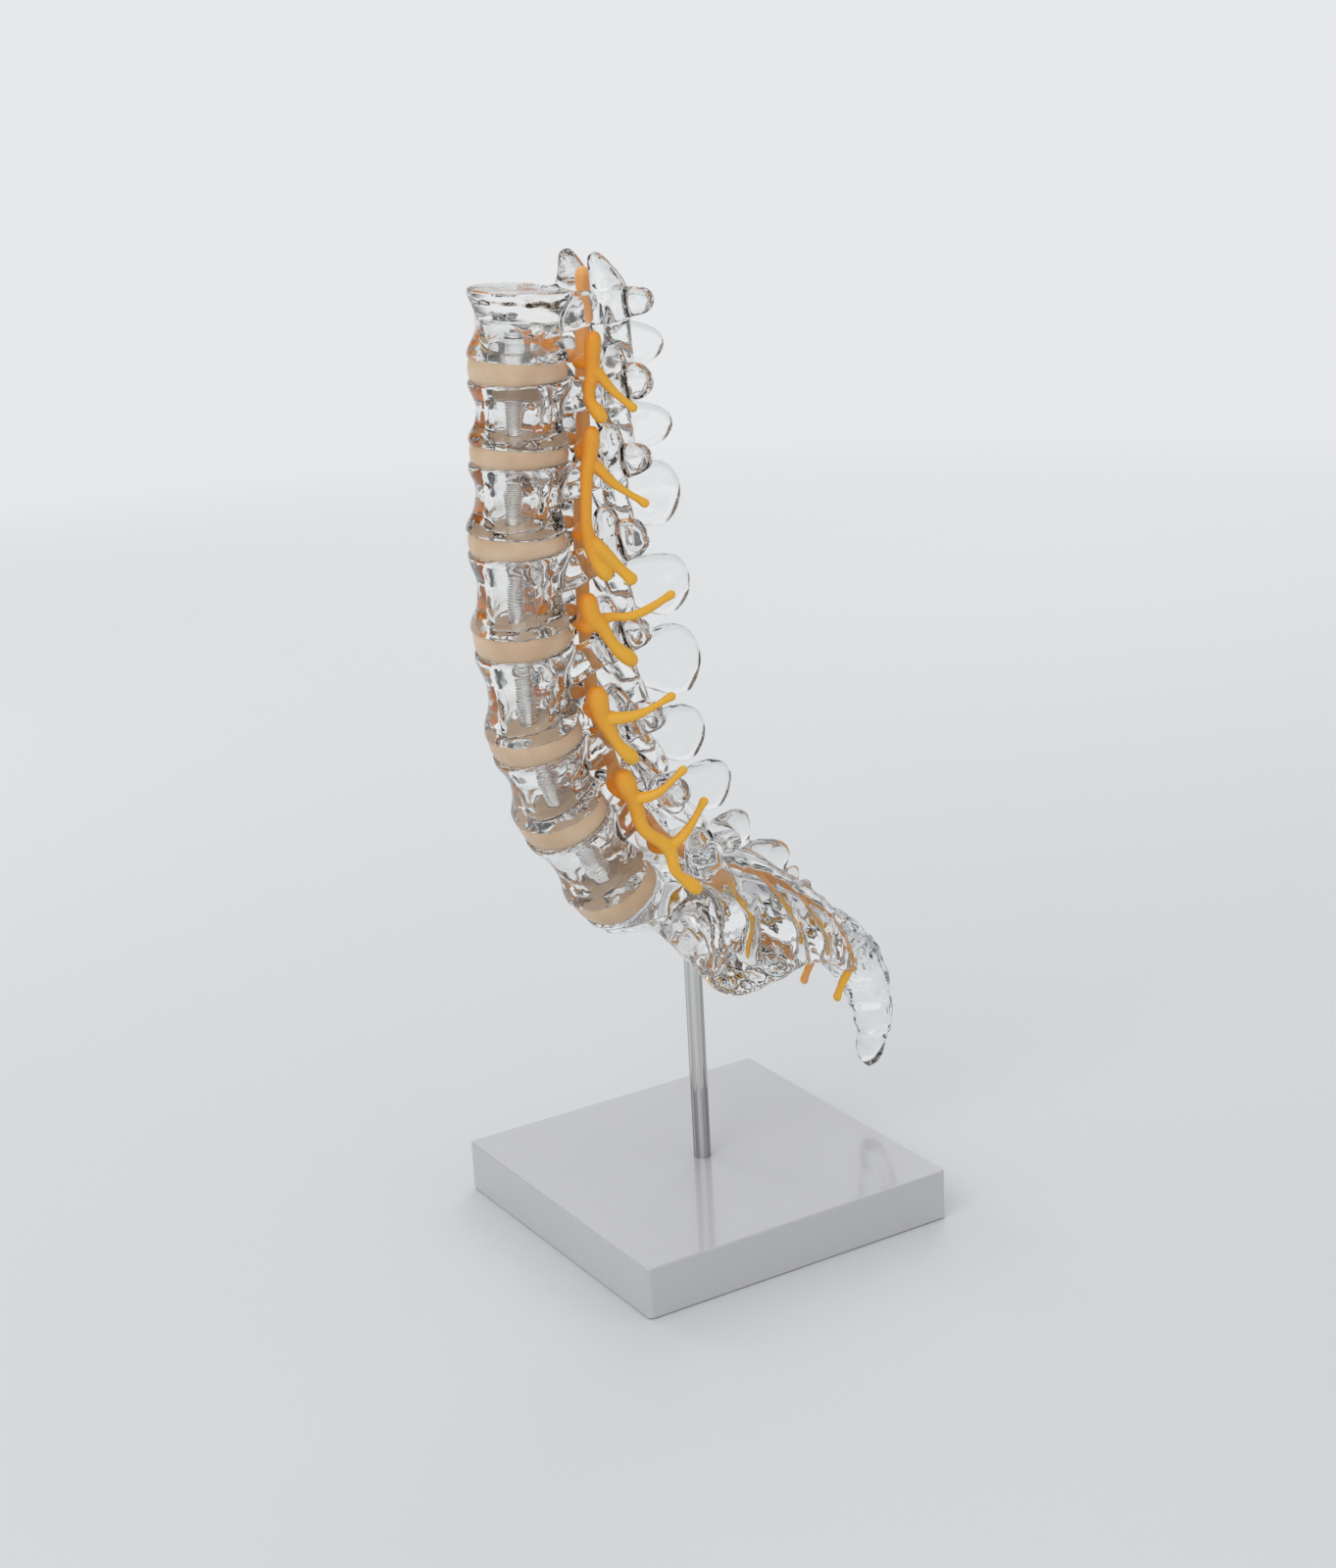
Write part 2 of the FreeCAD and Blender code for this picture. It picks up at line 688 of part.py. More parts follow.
SACRUM_SECTIONS = [
    # pelvic mid point back of and above the sacral plate's centre, tilt, half width,
    # thickness, droop of the wings towards the pelvic side
    (-9.3, -11.5, 41.0, 19.0, 24.0, 0.0),
    (0.7, -12.5, 50.0, 21.0, 26.0, 0.0),
    (11.7, -16.0, 54.0, 38.0, 29.0, 3.0),
    (23.7, -22.5, 58.0, 43.0, 33.0, 20.0),
    (42.7, -27.0, 61.0, 40.0, 32.0, 19.0),
    (59.7, -32.5, 60.0, 31.0, 26.0, 13.0),
    (75.7, -40.0, 55.0, 22.5, 22.0, 7.0),
    (89.7, -50.5, 44.0, 16.5, 20.0, 3.5),
    (99.2, -62.5, 28.0, 12.5, 21.0, 1.0),
    (104.2, -73.0, 12.0, 9.6, 17.0, 0.0),
    (107.2, -82.0, 0.0, 8.2, 14.6, 0.0),
    (107.9, -90.5, -15.0, 6.4, 11.6, 0.0),
    (106.9, -97.0, -30.0, 4.2, 8.0, 0.0),
    (108.3, -100.6, -36.0, 1.8, 3.6, 0.0),
]

CANAL_STATIONS = [
    # back of and above the sacral plate's centre, half width, half height
    (26.7, 10.0, 8.0, 5.0),
    (42.7, -2.0, 7.0, 4.6),
    (61.7, -13.0, 6.0, 4.0),
    (80.7, -26.0, 5.0, 3.4),
    (96.7, -38.5, 4.2, 3.0),
    (110.7, -48.0, 3.4, 2.6),
    (122.7, -54.0, 3.0, 2.4),
]

# drop below the sacral plate, scale of the outline, turn from the plate's tilt
DRUM_PROFILE = [(2.0, 0.995, 0.0), (5.0, 0.95, -6.0), (9.0, 0.88, -16.0)]

# side, back of and above the sacral plate's centre, half width, half depth
SACRAL_PROCESS = [
    (17.0, 26.7, 20.0, 4.6, 4.6),
    (18.0, 25.7, 13.5, 6.6, 6.4),
    (17.5, 29.7, 4.0, 7.0, 7.0),
    (16.0, 36.7, -6.0, 6.0, 6.0),
]
SACRAL_LAMINA = [
    (12.0, 32.7, 9.0, 3.4, 3.8),
    (7.0, 40.7, 11.0, 3.2, 4.4),
    (1.0, 48.7, 8.5, 3.2, 5.0),
]
FIRST_TUBERCLE = [
    (0.0, 39.0, 6.5, 2.8, 6.0),
    (0.0, 49.0, 11.5, 3.0, 8.0),
    (0.0, 57.5, 11.5, 2.8, 6.6),
]
MEDIAN_CREST = [
    (0.0, 54.7, -1.0, 3.0, 5.0),
    (0.0, 64.5, -0.5, 2.8, 5.5),
    (0.0, 73.0, -8.5, 2.6, 4.5),
    (0.0, 84.0, -20.0, 2.2, 3.4),
]

# how sharply the wings set in, how much they thin out, how far their middle is lifted
WING_POWER = 1.6
WING_THINNING = 0.42
WING_LIFT = 0.25
FULL_WING_DROOP = 3.0

FORAMINA = [
    # from the canal (back, up) to the hole's middle (side, back, up), tilt of the hole,
    # radius of its pelvic mouth, how far the nerve hangs out past the middle
    ((33.0, 5.5), (22.0, 43.0, -18.0), -20.0, 4.4, 15.0),
    ((58.0, -11.0), (17.5, 66.7, -27.0), -8.0, 4.0, 12.0),
    ((77.0, -23.5), (13.5, 82.7, -37.5), -25.0, 3.4, 10.0),
    ((92.0, -35.0), (11.5, 96.0, -50.0), -40.0, 3.0, 18.0),
]

# how far a branch bows out to the side and up, halfway to its foramen
BRANCH_BOW = (1.0, 1.0)
# share of the hang where a branch has its full mouth
MOUTH_SHARE = 0.55


def sacral(side, back, up):
    """A point of the sacrum, given from the centre of its plate."""
    return Vector(side, size("plate_back") + back, size("plate_up") + up)


def sacral_outline(back, up, tilt, half_width, thick, droop):
    """A crescent: the pelvic side is hollow, and the wings thin out to the sides."""
    middle = sacral(0, back, up)
    frame = Frame(middle.y, middle.z, tilt)
    count = 16
    points = []
    for index in range(count):
        angle = 2 * math.pi * index / count
        side = math.cos(angle)
        wing = abs(side) ** WING_POWER
        winged = min(droop / FULL_WING_DROOP, 1.0)
        thinning = WING_THINNING * winged * wing
        drop = (thick * WING_LIFT * winged + droop) * wing
        rise = thick / 2 * (1 + math.sin(angle) * (1 - thinning)) - drop
        points.append(frame.point(half_width * side, rise, 0))
    return closed_curve(points)


def sacral_limb(stations, side, across):
    return limb([(sacral(side * out, back, up), half_width, half_depth)
                 for out, back, up, half_width, half_depth in stations], across)


def sacral_canal(plate):
    """The canal behind the sacral plate, down to where it opens above the tail bone."""
    half_width, half_height = CANAL_STATIONS[0][2:]
    stations = []
    for rise in (size("canal_mouth_rise"), 0.0):
        stations.append((plate.point(0, size("canal_back"), rise), half_width, half_height))
    for back, up, half_width, half_height in CANAL_STATIONS:
        stations.append((sacral(0, back, up), half_width, half_height))
    return limb(stations, Vector(1, 0, 0))


def foramen_frame(foramen):
    (across, back, up), tilt = foramen[1:3]
    middle = sacral(0, back, up)
    return Frame(middle.y, middle.z, tilt)


def sacral_branch(side, foramen, radius, mouth, further=0.0):
    """A limb from the canal to a foramen and out on the pelvic side."""
    root_back, root_up = foramen[0]
    across = side * foramen[1][0]
    hang = foramen[4]
    frame = foramen_frame(foramen)
    root = sacral(side * size("sacral_nerve_root"), root_back, root_up)
    end = frame.point(across, 0, 0)
    bow = Vector(side * BRANCH_BOW[0], 0, BRANCH_BOW[1])
    stations = [
        (root, radius, radius),
        ((root + end) * 0.5 + bow, radius, radius),
        (end, (radius + mouth) / 2, (radius + mouth) / 2),
        (frame.point(across, 0, -hang * MOUTH_SHARE), mouth, mouth),
        (frame.point(across, 0, -hang), mouth, mouth),
    ]
    if further:
        stations.append((frame.point(across, 0, -hang - further), mouth, mouth))
    return limb(stations, Vector(0, 1, 0))


def make_sacrum(plates, rod_hole):
    plate = plates[LEVELS[0], "disc_foot"]
    wires = [body_outline(plate, 1.0)]
    for drop, scale, turn in DRUM_PROFILE:
        lower = plate.point(0, 0, -drop)
        wires.append(body_outline(Frame(lower.y, lower.z, plate.tilt + turn), scale))
    drum = loft(list(reversed(wires)))
    limbs = [loft([sacral_outline(*section) for section in SACRUM_SECTIONS])]
    for side in SIDES.values():
        limbs.append(sacral_limb(SACRAL_PROCESS, side, Vector(1, 0, 0)))
        limbs.append(sacral_limb(SACRAL_LAMINA, side, Vector(0, 0, 1)))
    limbs.append(sacral_limb(FIRST_TUBERCLE, 1, Vector(1, 0, 0)))
    limbs.append(sacral_limb(MEDIAN_CREST, 1, Vector(1, 0, 0)))
    sacrum = drum.multiFuse(limbs)
    seat = size("post_diameter") / 2 + size("post_seat_clearance")
    seat_top = size("plate_up") - size("post_top_drop")
    cuts = [sacral_canal(plate), rod_hole]
    cuts.append(Part.makeCylinder(seat, seat_top / 2, Vector(0, 0, seat_top / 2)))
    bore = size("sacral_nerve_diameter") / 2 + size("sacral_nerve_clearance")
    for side in SIDES.values():
        for foramen in FORAMINA:
            mouth = foramen[3]
            cuts.append(sacral_branch(side, foramen, bore, mouth, size("foramen_run")))
            frame = foramen_frame(foramen)
            across = side * foramen[1][0]
            cuts.append(drill(frame.point(across, 0, 0),
                              frame.point(across, 0, size("foramen_back_run")),
                              2 * mouth * size("foramen_back_share")))
    for tool in cuts:
        sacrum = sacrum.cut(tool)
    return feature("sacrum", sacrum)


# Cord and nerves

def cord_stations(bones, plates):
    radius = size("cord_diameter") / 2
    back = size("canal_back")
    stations = []
    top = in_frame(bones[LEVELS[-1]], plates[LEVELS[-1], "bone_top"]).origin.z
    for rise in (size("cord_rise"), 0.0):
        stations.append((bones[LEVELS[-1]].point(0, back, top + rise), radius, radius))
    for level in reversed(LEVELS):
        stations.append((bones[level].point(0, back, 0), radius, radius))
        stations.append((plates[level, "disc_foot"].point(0, back, 0), radius, radius))
    return stations


TAIL_STATIONS = 5


def make_cord(bones, plates):
    """The trunk in the canal, and on its tail the sacral nerves that leave by the foramina."""
    stations = cord_stations(bones, plates)
    gap = size("cord_gap")
    radius = size("cord_diameter") / 2
    for back, up, half_width, half_height in CANAL_STATIONS[:TAIL_STATIONS]:
        stations.append((sacral(0, back, up), min(radius, half_width - gap),
                         min(radius, half_height - gap)))
    cord = limb(stations, Vector(1, 0, 0))
    branch = size("sacral_nerve_diameter") / 2
    branches = []
    for side in SIDES.values():
        for foramen in FORAMINA:
            branches.append(sacral_branch(side, foramen, branch, branch))
    return feature("spinal_cord", cord.multiFuse(branches))


NERVES = {
    # each limb runs through (level of the disc, side, back, up, radius) in that disc's axes
    "t11_t12": [
        [("t11", 4.3, 24.8, 1.5, 2.0), ("t11", 9.0, 20.0, 1.8, 2.0), ("t11", 15.0, 15.6, 2.0, 2.1),
         ("t11", 21.0, 16.6, 1.6, 2.2), ("t11", 25.0, 22.0, -6.0, 1.7), ("t11", 28.0, 29.7, -13.7, 1.6)],
        [("t11", 21.5, 18.0, 12.0, 2.4), ("t11", 21.8, 17.2, 6.0, 2.8), ("t11", 22.3, 16.3, -2.2, 2.4),
         ("t11", 23.0, 15.6, -10.8, 2.1), ("t11", 24.6, 19.0, -16.6, 2.1)],
    ],
    "t12_l2": [
        [("t12", 4.3, 24.8, 0.8, 2.0), ("t12", 9.0, 20.0, 0.8, 2.0), ("t12", 15.0, 15.6, 0.6, 2.1),
         ("t12", 21.0, 15.8, -1.6, 2.2), ("t12", 25.0, 22.5, -10.2, 1.7), ("t12", 28.0, 34.0, -19.0, 1.6)],
        [("t12", 22.0, 16.9, 8.3, 2.4), ("t12", 22.0, 15.8, 1.3, 2.9), ("t12", 22.5, 14.0, -5.3, 2.5),
         ("t12", 23.0, 13.0, -11.0, 2.1), ("t12", 23.0, 12.6, -18.0, 2.1),
         ("l1", 22.8, 15.4, 5.0, 2.2), ("l1", 22.6, 16.0, 0.8, 2.5),
         ("l1", 24.0, 17.6, -7.8, 2.4), ("l1", 25.0, 20.9, -13.2, 2.4)],
        [("l1", 4.3, 24.8, 0.8, 2.0), ("l1", 9.0, 20.0, 0.8, 2.0), ("l1", 15.0, 15.8, 0.9, 2.1),
         ("l1", 21.4, 16.4, 0.6, 2.4), ("l1", 25.4, 23.7, -8.9, 2.2), ("l1", 27.4, 29.4, -16.1, 2.2)],
    ],
    "l2_l3": [
        [("l2", 4.3, 24.8, 1.5, 2.0), ("l2", 9.0, 20.0, 1.8, 2.0), ("l2", 15.0, 15.8, 2.2, 2.3),
         ("l2", 20.6, 15.2, 3.0, 3.1), ("l2", 23.4, 22.0, 4.6, 1.9), ("l2", 26.0, 29.1, 3.5, 1.6),
         ("l2", 28.0, 37.9, 4.5, 1.6), ("l2", 29.0, 46.9, 7.2, 1.6)],
        [("l2", 21.3, 17.1, 13.0, 3.0), ("l2", 22.0, 16.8, 8.5, 3.6), ("l2", 23.5, 19.0, 2.8, 2.9),
         ("l2", 25.0, 22.9, -6.2, 2.3), ("l2", 26.0, 28.4, -13.3, 2.3)],
    ],
    "l3_l4": [
        [("l3", 4.3, 24.8, 3.0, 2.0), ("l3", 9.0, 20.0, 3.8, 2.0), ("l3", 15.0, 16.4, 4.6, 2.2),
         ("l3", 20.5, 16.6, 3.6, 2.4), ("l3", 29.0, 28.0, -0.1, 1.7), ("l3", 32.4, 41.3, 1.1, 1.6)],
        [("l3", 21.8, 18.5, 12.6, 3.4), ("l3", 22.3, 17.0, 5.6, 3.6), ("l3", 23.5, 17.4, -2.2, 2.8),
         ("l3", 25.0, 18.4, -9.4, 2.3), ("l3", 26.0, 21.3, -16.2, 2.3)],
    ],
    "l4_s1": [
        [("l4", 4.3, 24.8, 2.0, 2.0), ("l4", 9.0, 20.0, 2.3, 2.0), ("l4", 15.0, 16.6, 2.2, 2.2),
         ("l4", 20.5, 17.0, -0.6, 2.3), ("l4", 28.8, 25.3, -3.8, 1.7), ("l4", 31.6, 37.7, -1.9, 1.6)],
        [("l4", 21.8, 19.6, 7.4, 3.4), ("l4", 22.4, 18.4, 1.5, 3.6), ("l4", 23.5, 15.6, -10.2, 2.7),
         ("l4", 25.0, 16.3, -19.7, 2.5), ("l5", 26.0, 18.6, 8.5, 2.6), ("l5", 27.0, 15.8, 3.0, 2.3),
         ("l5", 28.0, 14.8, -4.5, 2.2), ("l5", 29.0, 15.6, -11.4, 2.2)],
        [("l5", 4.3, 24.8, 4.0, 2.0), ("l5", 10.0, 19.6, 6.0, 2.0), ("l5", 18.0, 17.0, 7.6, 2.1),
         ("l5", 25.0, 19.4, 8.2, 2.2), ("l5", 28.0, 29.3, 9.0, 1.7), ("l5", 29.0, 40.3, 12.4, 1.6)],
    ],
}


def nerve_shape(name, discs):
    """The left nerve of a level; the right one is its mirror image."""
    limbs = []
    for stations in NERVES[name]:
        limbs.append(limb([(discs[level].point(across, back, up), radius, radius)
                           for level, across, back, up, radius in stations], Vector(0.3, 0.4, 1)))
    return limbs[0].multiFuse(limbs[1:])


def check_and_write(items):
    os.makedirs("parts", exist_ok=True)
    doc.recompute()
    for item in doc.Objects:
        if "Invalid" in item.State or "Error" in item.State:
            raise RuntimeError("%s failed: %s" % (item.Name, item.State))
    for item in items:
        shape = item.Shape
        if shape.isNull() or not shape.isValid():
            raise RuntimeError("%s has no valid shape" % item.Label)
    for item in items:
        item.Shape.exportStep("parts/%s.step" % item.Label)
        print("%-22s %9.1f mm3 %d solid(s)" % (item.Label, item.Shape.Volume, len(item.Shape.Solids)))


def main():
    fill_sheet()
    discs, bones, plates = stack_frames()
    path = rod_path(discs, plates)
    rod_hole = rod_solid(path, size("rod_diameter") + 2 * size("rod_clearance"))
    items = [make_base(), make_post()]
    top = plates[LEVELS[-1], "disc_top"]
    on_washer = top.point(0, 0, size("rod_washer_thickness"))
    items.append(feature("core_rod", rod_solid(path, size("rod_diameter"))))
    items.append(make_washer("rod_washer", "rod_washer_diameter", "rod_diameter",
                             "rod_washer_thickness", top))
    items.append(make_nut("rod_nut", "rod_diameter", Frame(on_washer.y, on_washer.z, top.tilt)))
    for level in LEVELS:
        items.append(make_disc(level, discs, plates, rod_hole))
        items.append(make_bone(level, bones, plates))
    items.append(make_sacrum(plates, rod_hole))
    items.append(make_cord(bones, plates))
    for name in NERVES:
        nerve = nerve_shape(name, discs)
        items.append(feature("left_nerve_" + name, nerve))
        items.append(feature("right_nerve_" + name, nerve.mirror(Vector(0, 0, 0), Vector(1, 0, 0))))
    check_and_write(items)


main()
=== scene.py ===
"""Looks of the clear lumbar spine model: castings, discs, nerves, threaded rod, stand and studio."""

import math
from typing import NamedTuple

import bmesh
import bpy
import numpy as np
from mathutils import Matrix, Vector, noise


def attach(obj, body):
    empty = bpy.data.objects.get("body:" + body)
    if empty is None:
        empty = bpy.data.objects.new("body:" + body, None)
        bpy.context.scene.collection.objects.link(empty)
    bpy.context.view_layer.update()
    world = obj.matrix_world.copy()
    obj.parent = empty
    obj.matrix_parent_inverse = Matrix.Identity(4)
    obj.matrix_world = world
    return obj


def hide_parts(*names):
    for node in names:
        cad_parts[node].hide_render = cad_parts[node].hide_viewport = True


bl_info = {
    "name": "Clear Spine Model Looks",
    "version": (1, 0, 0),
    "blender": (4, 5, 0),
    "location": "3D View > Sidebar > Spine Model",
    "description": "Dresses the packed spine model in clear resin, soft nerves and bright steel",
    "category": "Object",
}

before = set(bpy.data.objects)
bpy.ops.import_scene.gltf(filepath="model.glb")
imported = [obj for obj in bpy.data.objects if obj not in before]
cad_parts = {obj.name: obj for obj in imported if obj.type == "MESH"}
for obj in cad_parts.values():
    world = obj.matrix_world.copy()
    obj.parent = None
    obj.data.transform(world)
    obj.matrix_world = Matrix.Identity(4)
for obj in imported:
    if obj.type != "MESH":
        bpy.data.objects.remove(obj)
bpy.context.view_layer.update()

BONES = sorted(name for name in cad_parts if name.startswith("vertebra_"))
DISCS = sorted(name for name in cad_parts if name.startswith("disc_"))
NERVES = sorted(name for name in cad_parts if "nerve" in name)

# The rod's line from its foot in the sacrum to its top in the upper socket: Y and Z in metres
ROD_ROUTE = [
    (-0.02283, 0.12994),
    (-0.03301, 0.14196),
    (-0.05241, 0.17442),
    (-0.06120, 0.20564),
    (-0.06390, 0.24268),
    (-0.06320, 0.27773),
    (-0.06011, 0.30868),
    (-0.05830, 0.34088),
    (-0.05752, 0.34984),
]

# Curve points for each turn of the thread, sides of the bar, and the fewest faces it may have
THREAD_STEPS = 5.0
THREAD_SIDES = 28
THREAD_LEAST_FACES = 1000

# Copies of nodes: how near corners are joined, and how many rounds of smoothing melt the creases
JOIN_DISTANCE = 2e-6
MELT_SHARE = 0.5
BONE_ROUNDS = 5
NERVE_ROUNDS = 4

# Cast ripples: the quick wave on top of the slow one, and how far a piece's seed moves both
QUICK_SHARE = 0.45
QUICK_RATE = 2.4
SEED_STEP = (1.7, 3.1, 0.9)

# How far back the tail bone starts, and over what length its lumps set in
TAIL_START = 0.052
TAIL_EASE = 0.012


class Stub(NamedTuple):
    """The lower end of a sacral branch and its mirror image, in metres."""

    side: float
    back: float
    up: float
    way_back: float
    way_up: float
    share_kept: float
    sway: float


# The branch ends that are changed, how far round its line each reaches, and its full length
HANGING_STUBS = [
    Stub(0.0175, 0.0355, 0.1090, -0.1392, -0.9903, 0.45, 0.0),
    Stub(0.0135, 0.0507, 0.0988, -0.4226, -0.9063, 0.35, 0.0),
    Stub(0.0115, 0.0653, 0.0890, -0.6428, -0.7660, 1.0, 0.0045),
]
STUB_REACH = 0.0035
STUB_LENGTH = 0.018

# Where one colour goes over into the next: by slant for the resin's painted rim shade, by grain for
# discs and steel, and by metres out from the middle for the cord and the nerves
RESIN_RIM_SHADE_SLANT = (0.62, 1.0)
DISC_CLOUD = (0.35, 0.68)
STEEL_LINES = (0.36, 0.56)
CORD_TO_STUB = (0.010, 0.0125)
ROOT_TO_TRUNK = (0.006, 0.014)
TRUNK_TO_TIP = (0.0218, 0.0268)

ROD_STEEL = (0.96, 0.96, 0.96, 1.0)
NUT_STEEL = (0.9, 0.9, 0.9, 1.0)

# The dark strips that only gloss and glass see: their way across, their edges, their top, their depth
STRIP_WAY = (0.5127, 0.8584)
STRIP_EDGE = (0.32, 0.6)
STRIP_TOP = (0.55, 0.8)
STRIP_DEPTH = 0.88

# The floor's half width, its gap under the base, and where its own glow sets in, in square metres
FLOOR_REACH = 60.0
FLOOR_DROP = 0.0002
FLOOR_FADE = (0.12, 2.6)

# Lamps: name, place, width and share of the main lamp's power. All aim at one point
LAMPS = [
    ("main_lamp", (0.55, -1.15, 1.35), 0.9, 1.0),
    ("side_lamp", (1.1, 0.75, 0.75), 0.5, 0.08),
    ("rim_lamp", (-0.9, 0.95, 0.95), 0.6, 0.5),
    ("far_lamp", (-1.1, -0.45, 0.55), 0.3, 0.25),
]
LAMP_AIM = (0.0, 0.0, 0.2)
LAMP_STRETCH = 1.2

# The camera's sensor in millimetres, and how near and how far it sees in metres
SENSOR_WIDTH = 36.0
CAMERA_CLIP = (0.01, 50.0)


# Shader and geometry trees

class Number:
    """A number socket of a node tree that takes part in plain Python maths."""

    def __init__(self, tree, socket):
        self.tree = tree
        self.socket = socket

    def _with(self, operation, other, swapped=False):
        node = self.tree.nodes.new("ShaderNodeMath")
        node.operation = operation
        pair = [other, self] if swapped else [self, other]
        for slot, value in zip(node.inputs, pair):
            if isinstance(value, Number):
                self.tree.links.new(value.socket, slot)
            else:
                slot.default_value = value
        return Number(self.tree, node.outputs[0])

    def __add__(self, other):
        return self._with("ADD", other)

    __radd__ = __add__

    def __sub__(self, other):
        return self._with("SUBTRACT", other)

    def __rsub__(self, other):
        return self._with("SUBTRACT", other, swapped=True)

    def __mul__(self, other):
        return self._with("MULTIPLY", other)

    __rmul__ = __mul__

    def __truediv__(self, other):
        return self._with("DIVIDE", other)

    def largest(self, other):
        return self._with("MAXIMUM", other)

    def smallest(self, other):
        return self._with("MINIMUM", other)

    def size(self):
        return self.largest(0.0 - self)

    def wave(self):
        return self._with("COSINE", 0.0)

    def clamped(self):
        return self.largest(0.0).smallest(1.0)

    def between(self, low, high):
        """0 below low, 1 above high, straight in between."""
        return ((self - low) / (high - low)).clamped()


class Tree:
    """A node tree with one way to add a node: its type, its settings, then its sockets."""

    def __init__(self, tree):
        self.tree = tree

    def add(self, kind, settings=None, **sockets):
        node = self.tree.nodes.new(kind)
        for name, value in (settings or {}).items():
            setattr(node, name, value)
        for name, value in sockets.items():
            self.feed(node, name.replace("_", " "), value)
        return node

    def feed(self, node, name, value):
        slot = next(s for s in node.inputs if s.name == name and s.enabled)
        if isinstance(value, Number):
            self.tree.links.new(value.socket, slot)
        elif isinstance(value, bpy.types.NodeSocket):
            self.tree.links.new(value, slot)
        else:
            slot.default_value = value

    def number(self, node, name=None):
        return Number(self.tree, self.out(node, name))

    def out(self, node, name=None):
        if name is None:
            return node.outputs[0]
        return next(s for s in node.outputs if s.name == name and s.enabled)

    def seen_rays(self):
        """1 for rays from the eye, also by way of gloss or glass, and 0 for rays that only light."""
        path = self.add("ShaderNodeLightPath")
        return (self.number(path, "Is Camera Ray") + self.number(path, "Is Glossy Ray")
                + self.number(path, "Is Transmission Ray")).clamped()


class Finish(Tree):
    """A material built round one principled shader."""

    def __init__(self, name, **constants):
        self.material = bpy.data.materials.new(name)
        self.material.use_nodes = True
        super().__init__(self.material.node_tree)
        self.shader = next(n for n in self.tree.nodes if n.type == "BSDF_PRINCIPLED")
        for socket, value in constants.items():
            self.feed(self.shader, socket.replace("_", " "), value)
        self.place = self.out(self.add("ShaderNodeTexCoord"), "Object")

    def axes(self):
        node = self.add("ShaderNodeSeparateXYZ", Vector=self.place)
        return [self.number(node, axis) for axis in "XYZ"]

    def stretched(self, scale):
        return self.out(self.add("ShaderNodeMapping", Vector=self.place, Scale=scale))

    def grain(self, scale, detail=2.0, roughness=0.5, where=None):
        node = self.add("ShaderNodeTexNoise", Vector=where or self.place, Scale=scale,
                        Detail=detail, Roughness=roughness)
        return self.number(node)

    def blend(self, share, first, second):
        node = self.add("ShaderNodeMix", {"data_type": "RGBA"}, Factor=share, A=first, B=second)
        return self.out(node, "Result")

    def raised(self, height, distance, strength):
        node = self.add("ShaderNodeBump", Height=height, Distance=distance, Strength=strength)
        self.feed(self.shader, "Normal", self.out(node))

    def colour(self, value):
        self.feed(self.shader, "Base Color", value)

    def rough(self, value):
        self.feed(self.shader, "Roughness", value)

    def mixed_with(self, other, share):
        """Shows another shader in place of the principled one by the given share."""
        last = next(n for n in self.tree.nodes if n.type == "OUTPUT_MATERIAL")
        mixed = self.add("ShaderNodeMixShader", Fac=share)
        self.tree.links.new(self.out(self.shader), mixed.inputs[1])
        self.tree.links.new(self.out(other), mixed.inputs[2])
        self.feed(last, "Surface", self.out(mixed))


# Meshes

def merged_copy(name, node):
    """A new object with the node's mesh, its loose triangles joined at their corners."""
    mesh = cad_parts[node].data.copy()
    mesh.materials.clear()
    work = bmesh.new()
    work.from_mesh(mesh)
    bmesh.ops.remove_doubles(work, verts=work.verts, dist=JOIN_DISTANCE)
    work.to_mesh(mesh)
    work.free()
    piece = bpy.data.objects.new(name, mesh)
    bpy.context.scene.collection.objects.link(piece)
    return piece


def settled(piece):
    """Turns the piece's modifiers into plain mesh."""
    deps = bpy.context.evaluated_depsgraph_get()
    mesh = bpy.data.meshes.new_from_object(piece.evaluated_get(deps))
    piece.modifiers.clear()
    old = piece.data
    piece.data = mesh
    mesh.name = piece.name
    bpy.data.meshes.remove(old)
    return piece


def moulded(name, node, grid, rounds):
    """A copy of a node with its creases melted together, as a casting's are."""
    piece = merged_copy(name, node)
    remesh = piece.modifiers.new("grid", "REMESH")
    remesh.mode = "VOXEL"
    remesh.voxel_size = grid
    remesh.adaptivity = 0.0
    smooth = piece.modifiers.new("melt", "SMOOTH")
    smooth.factor = MELT_SHARE
    smooth.iterations = rounds
    settled(piece)
    piece.data.shade_smooth()
    return piece


def ripple_at(place, length, offset):
    """A slow wave with a quick one on top of it."""
    spot = Vector(place) / length + offset
    return noise.noise(spot) + QUICK_SHARE * noise.noise(spot * QUICK_RATE)


def rippled(piece, height, length, seed, tail=0.0, tail_length=1.0):
    """Moves each point along its normal by a slow and a quick ripple, as cast resin has.

    The tail bone, behind TAIL_START, gets lumps of its own height and length on top.
    """
    mesh = piece.data
    offset = Vector([seed * step for step in SEED_STEP])
    places = np.empty(len(mesh.vertices) * 3, np.float32)
    normals = np.empty(len(mesh.vertices) * 3, np.float32)
    mesh.vertices.foreach_get("co", places)
    mesh.vertex_normals.foreach_get("vector", normals)
    places = places.reshape(-1, 3)
    normals = normals.reshape(-1, 3)
    behind = np.clip((places[:, 1] - TAIL_START) / TAIL_EASE, 0.0, 1.0)
    waves = np.empty(len(places), np.float32)
    for index, place in enumerate(places):
        waves[index] = height * ripple_at(place, length, offset)
        if tail and behind[index]:
            waves[index] += tail * behind[index] * ripple_at(place, tail_length, offset)
    places += normals * waves[:, None]
    mesh.vertices.foreach_set("co", places.ravel())
    mesh.update()


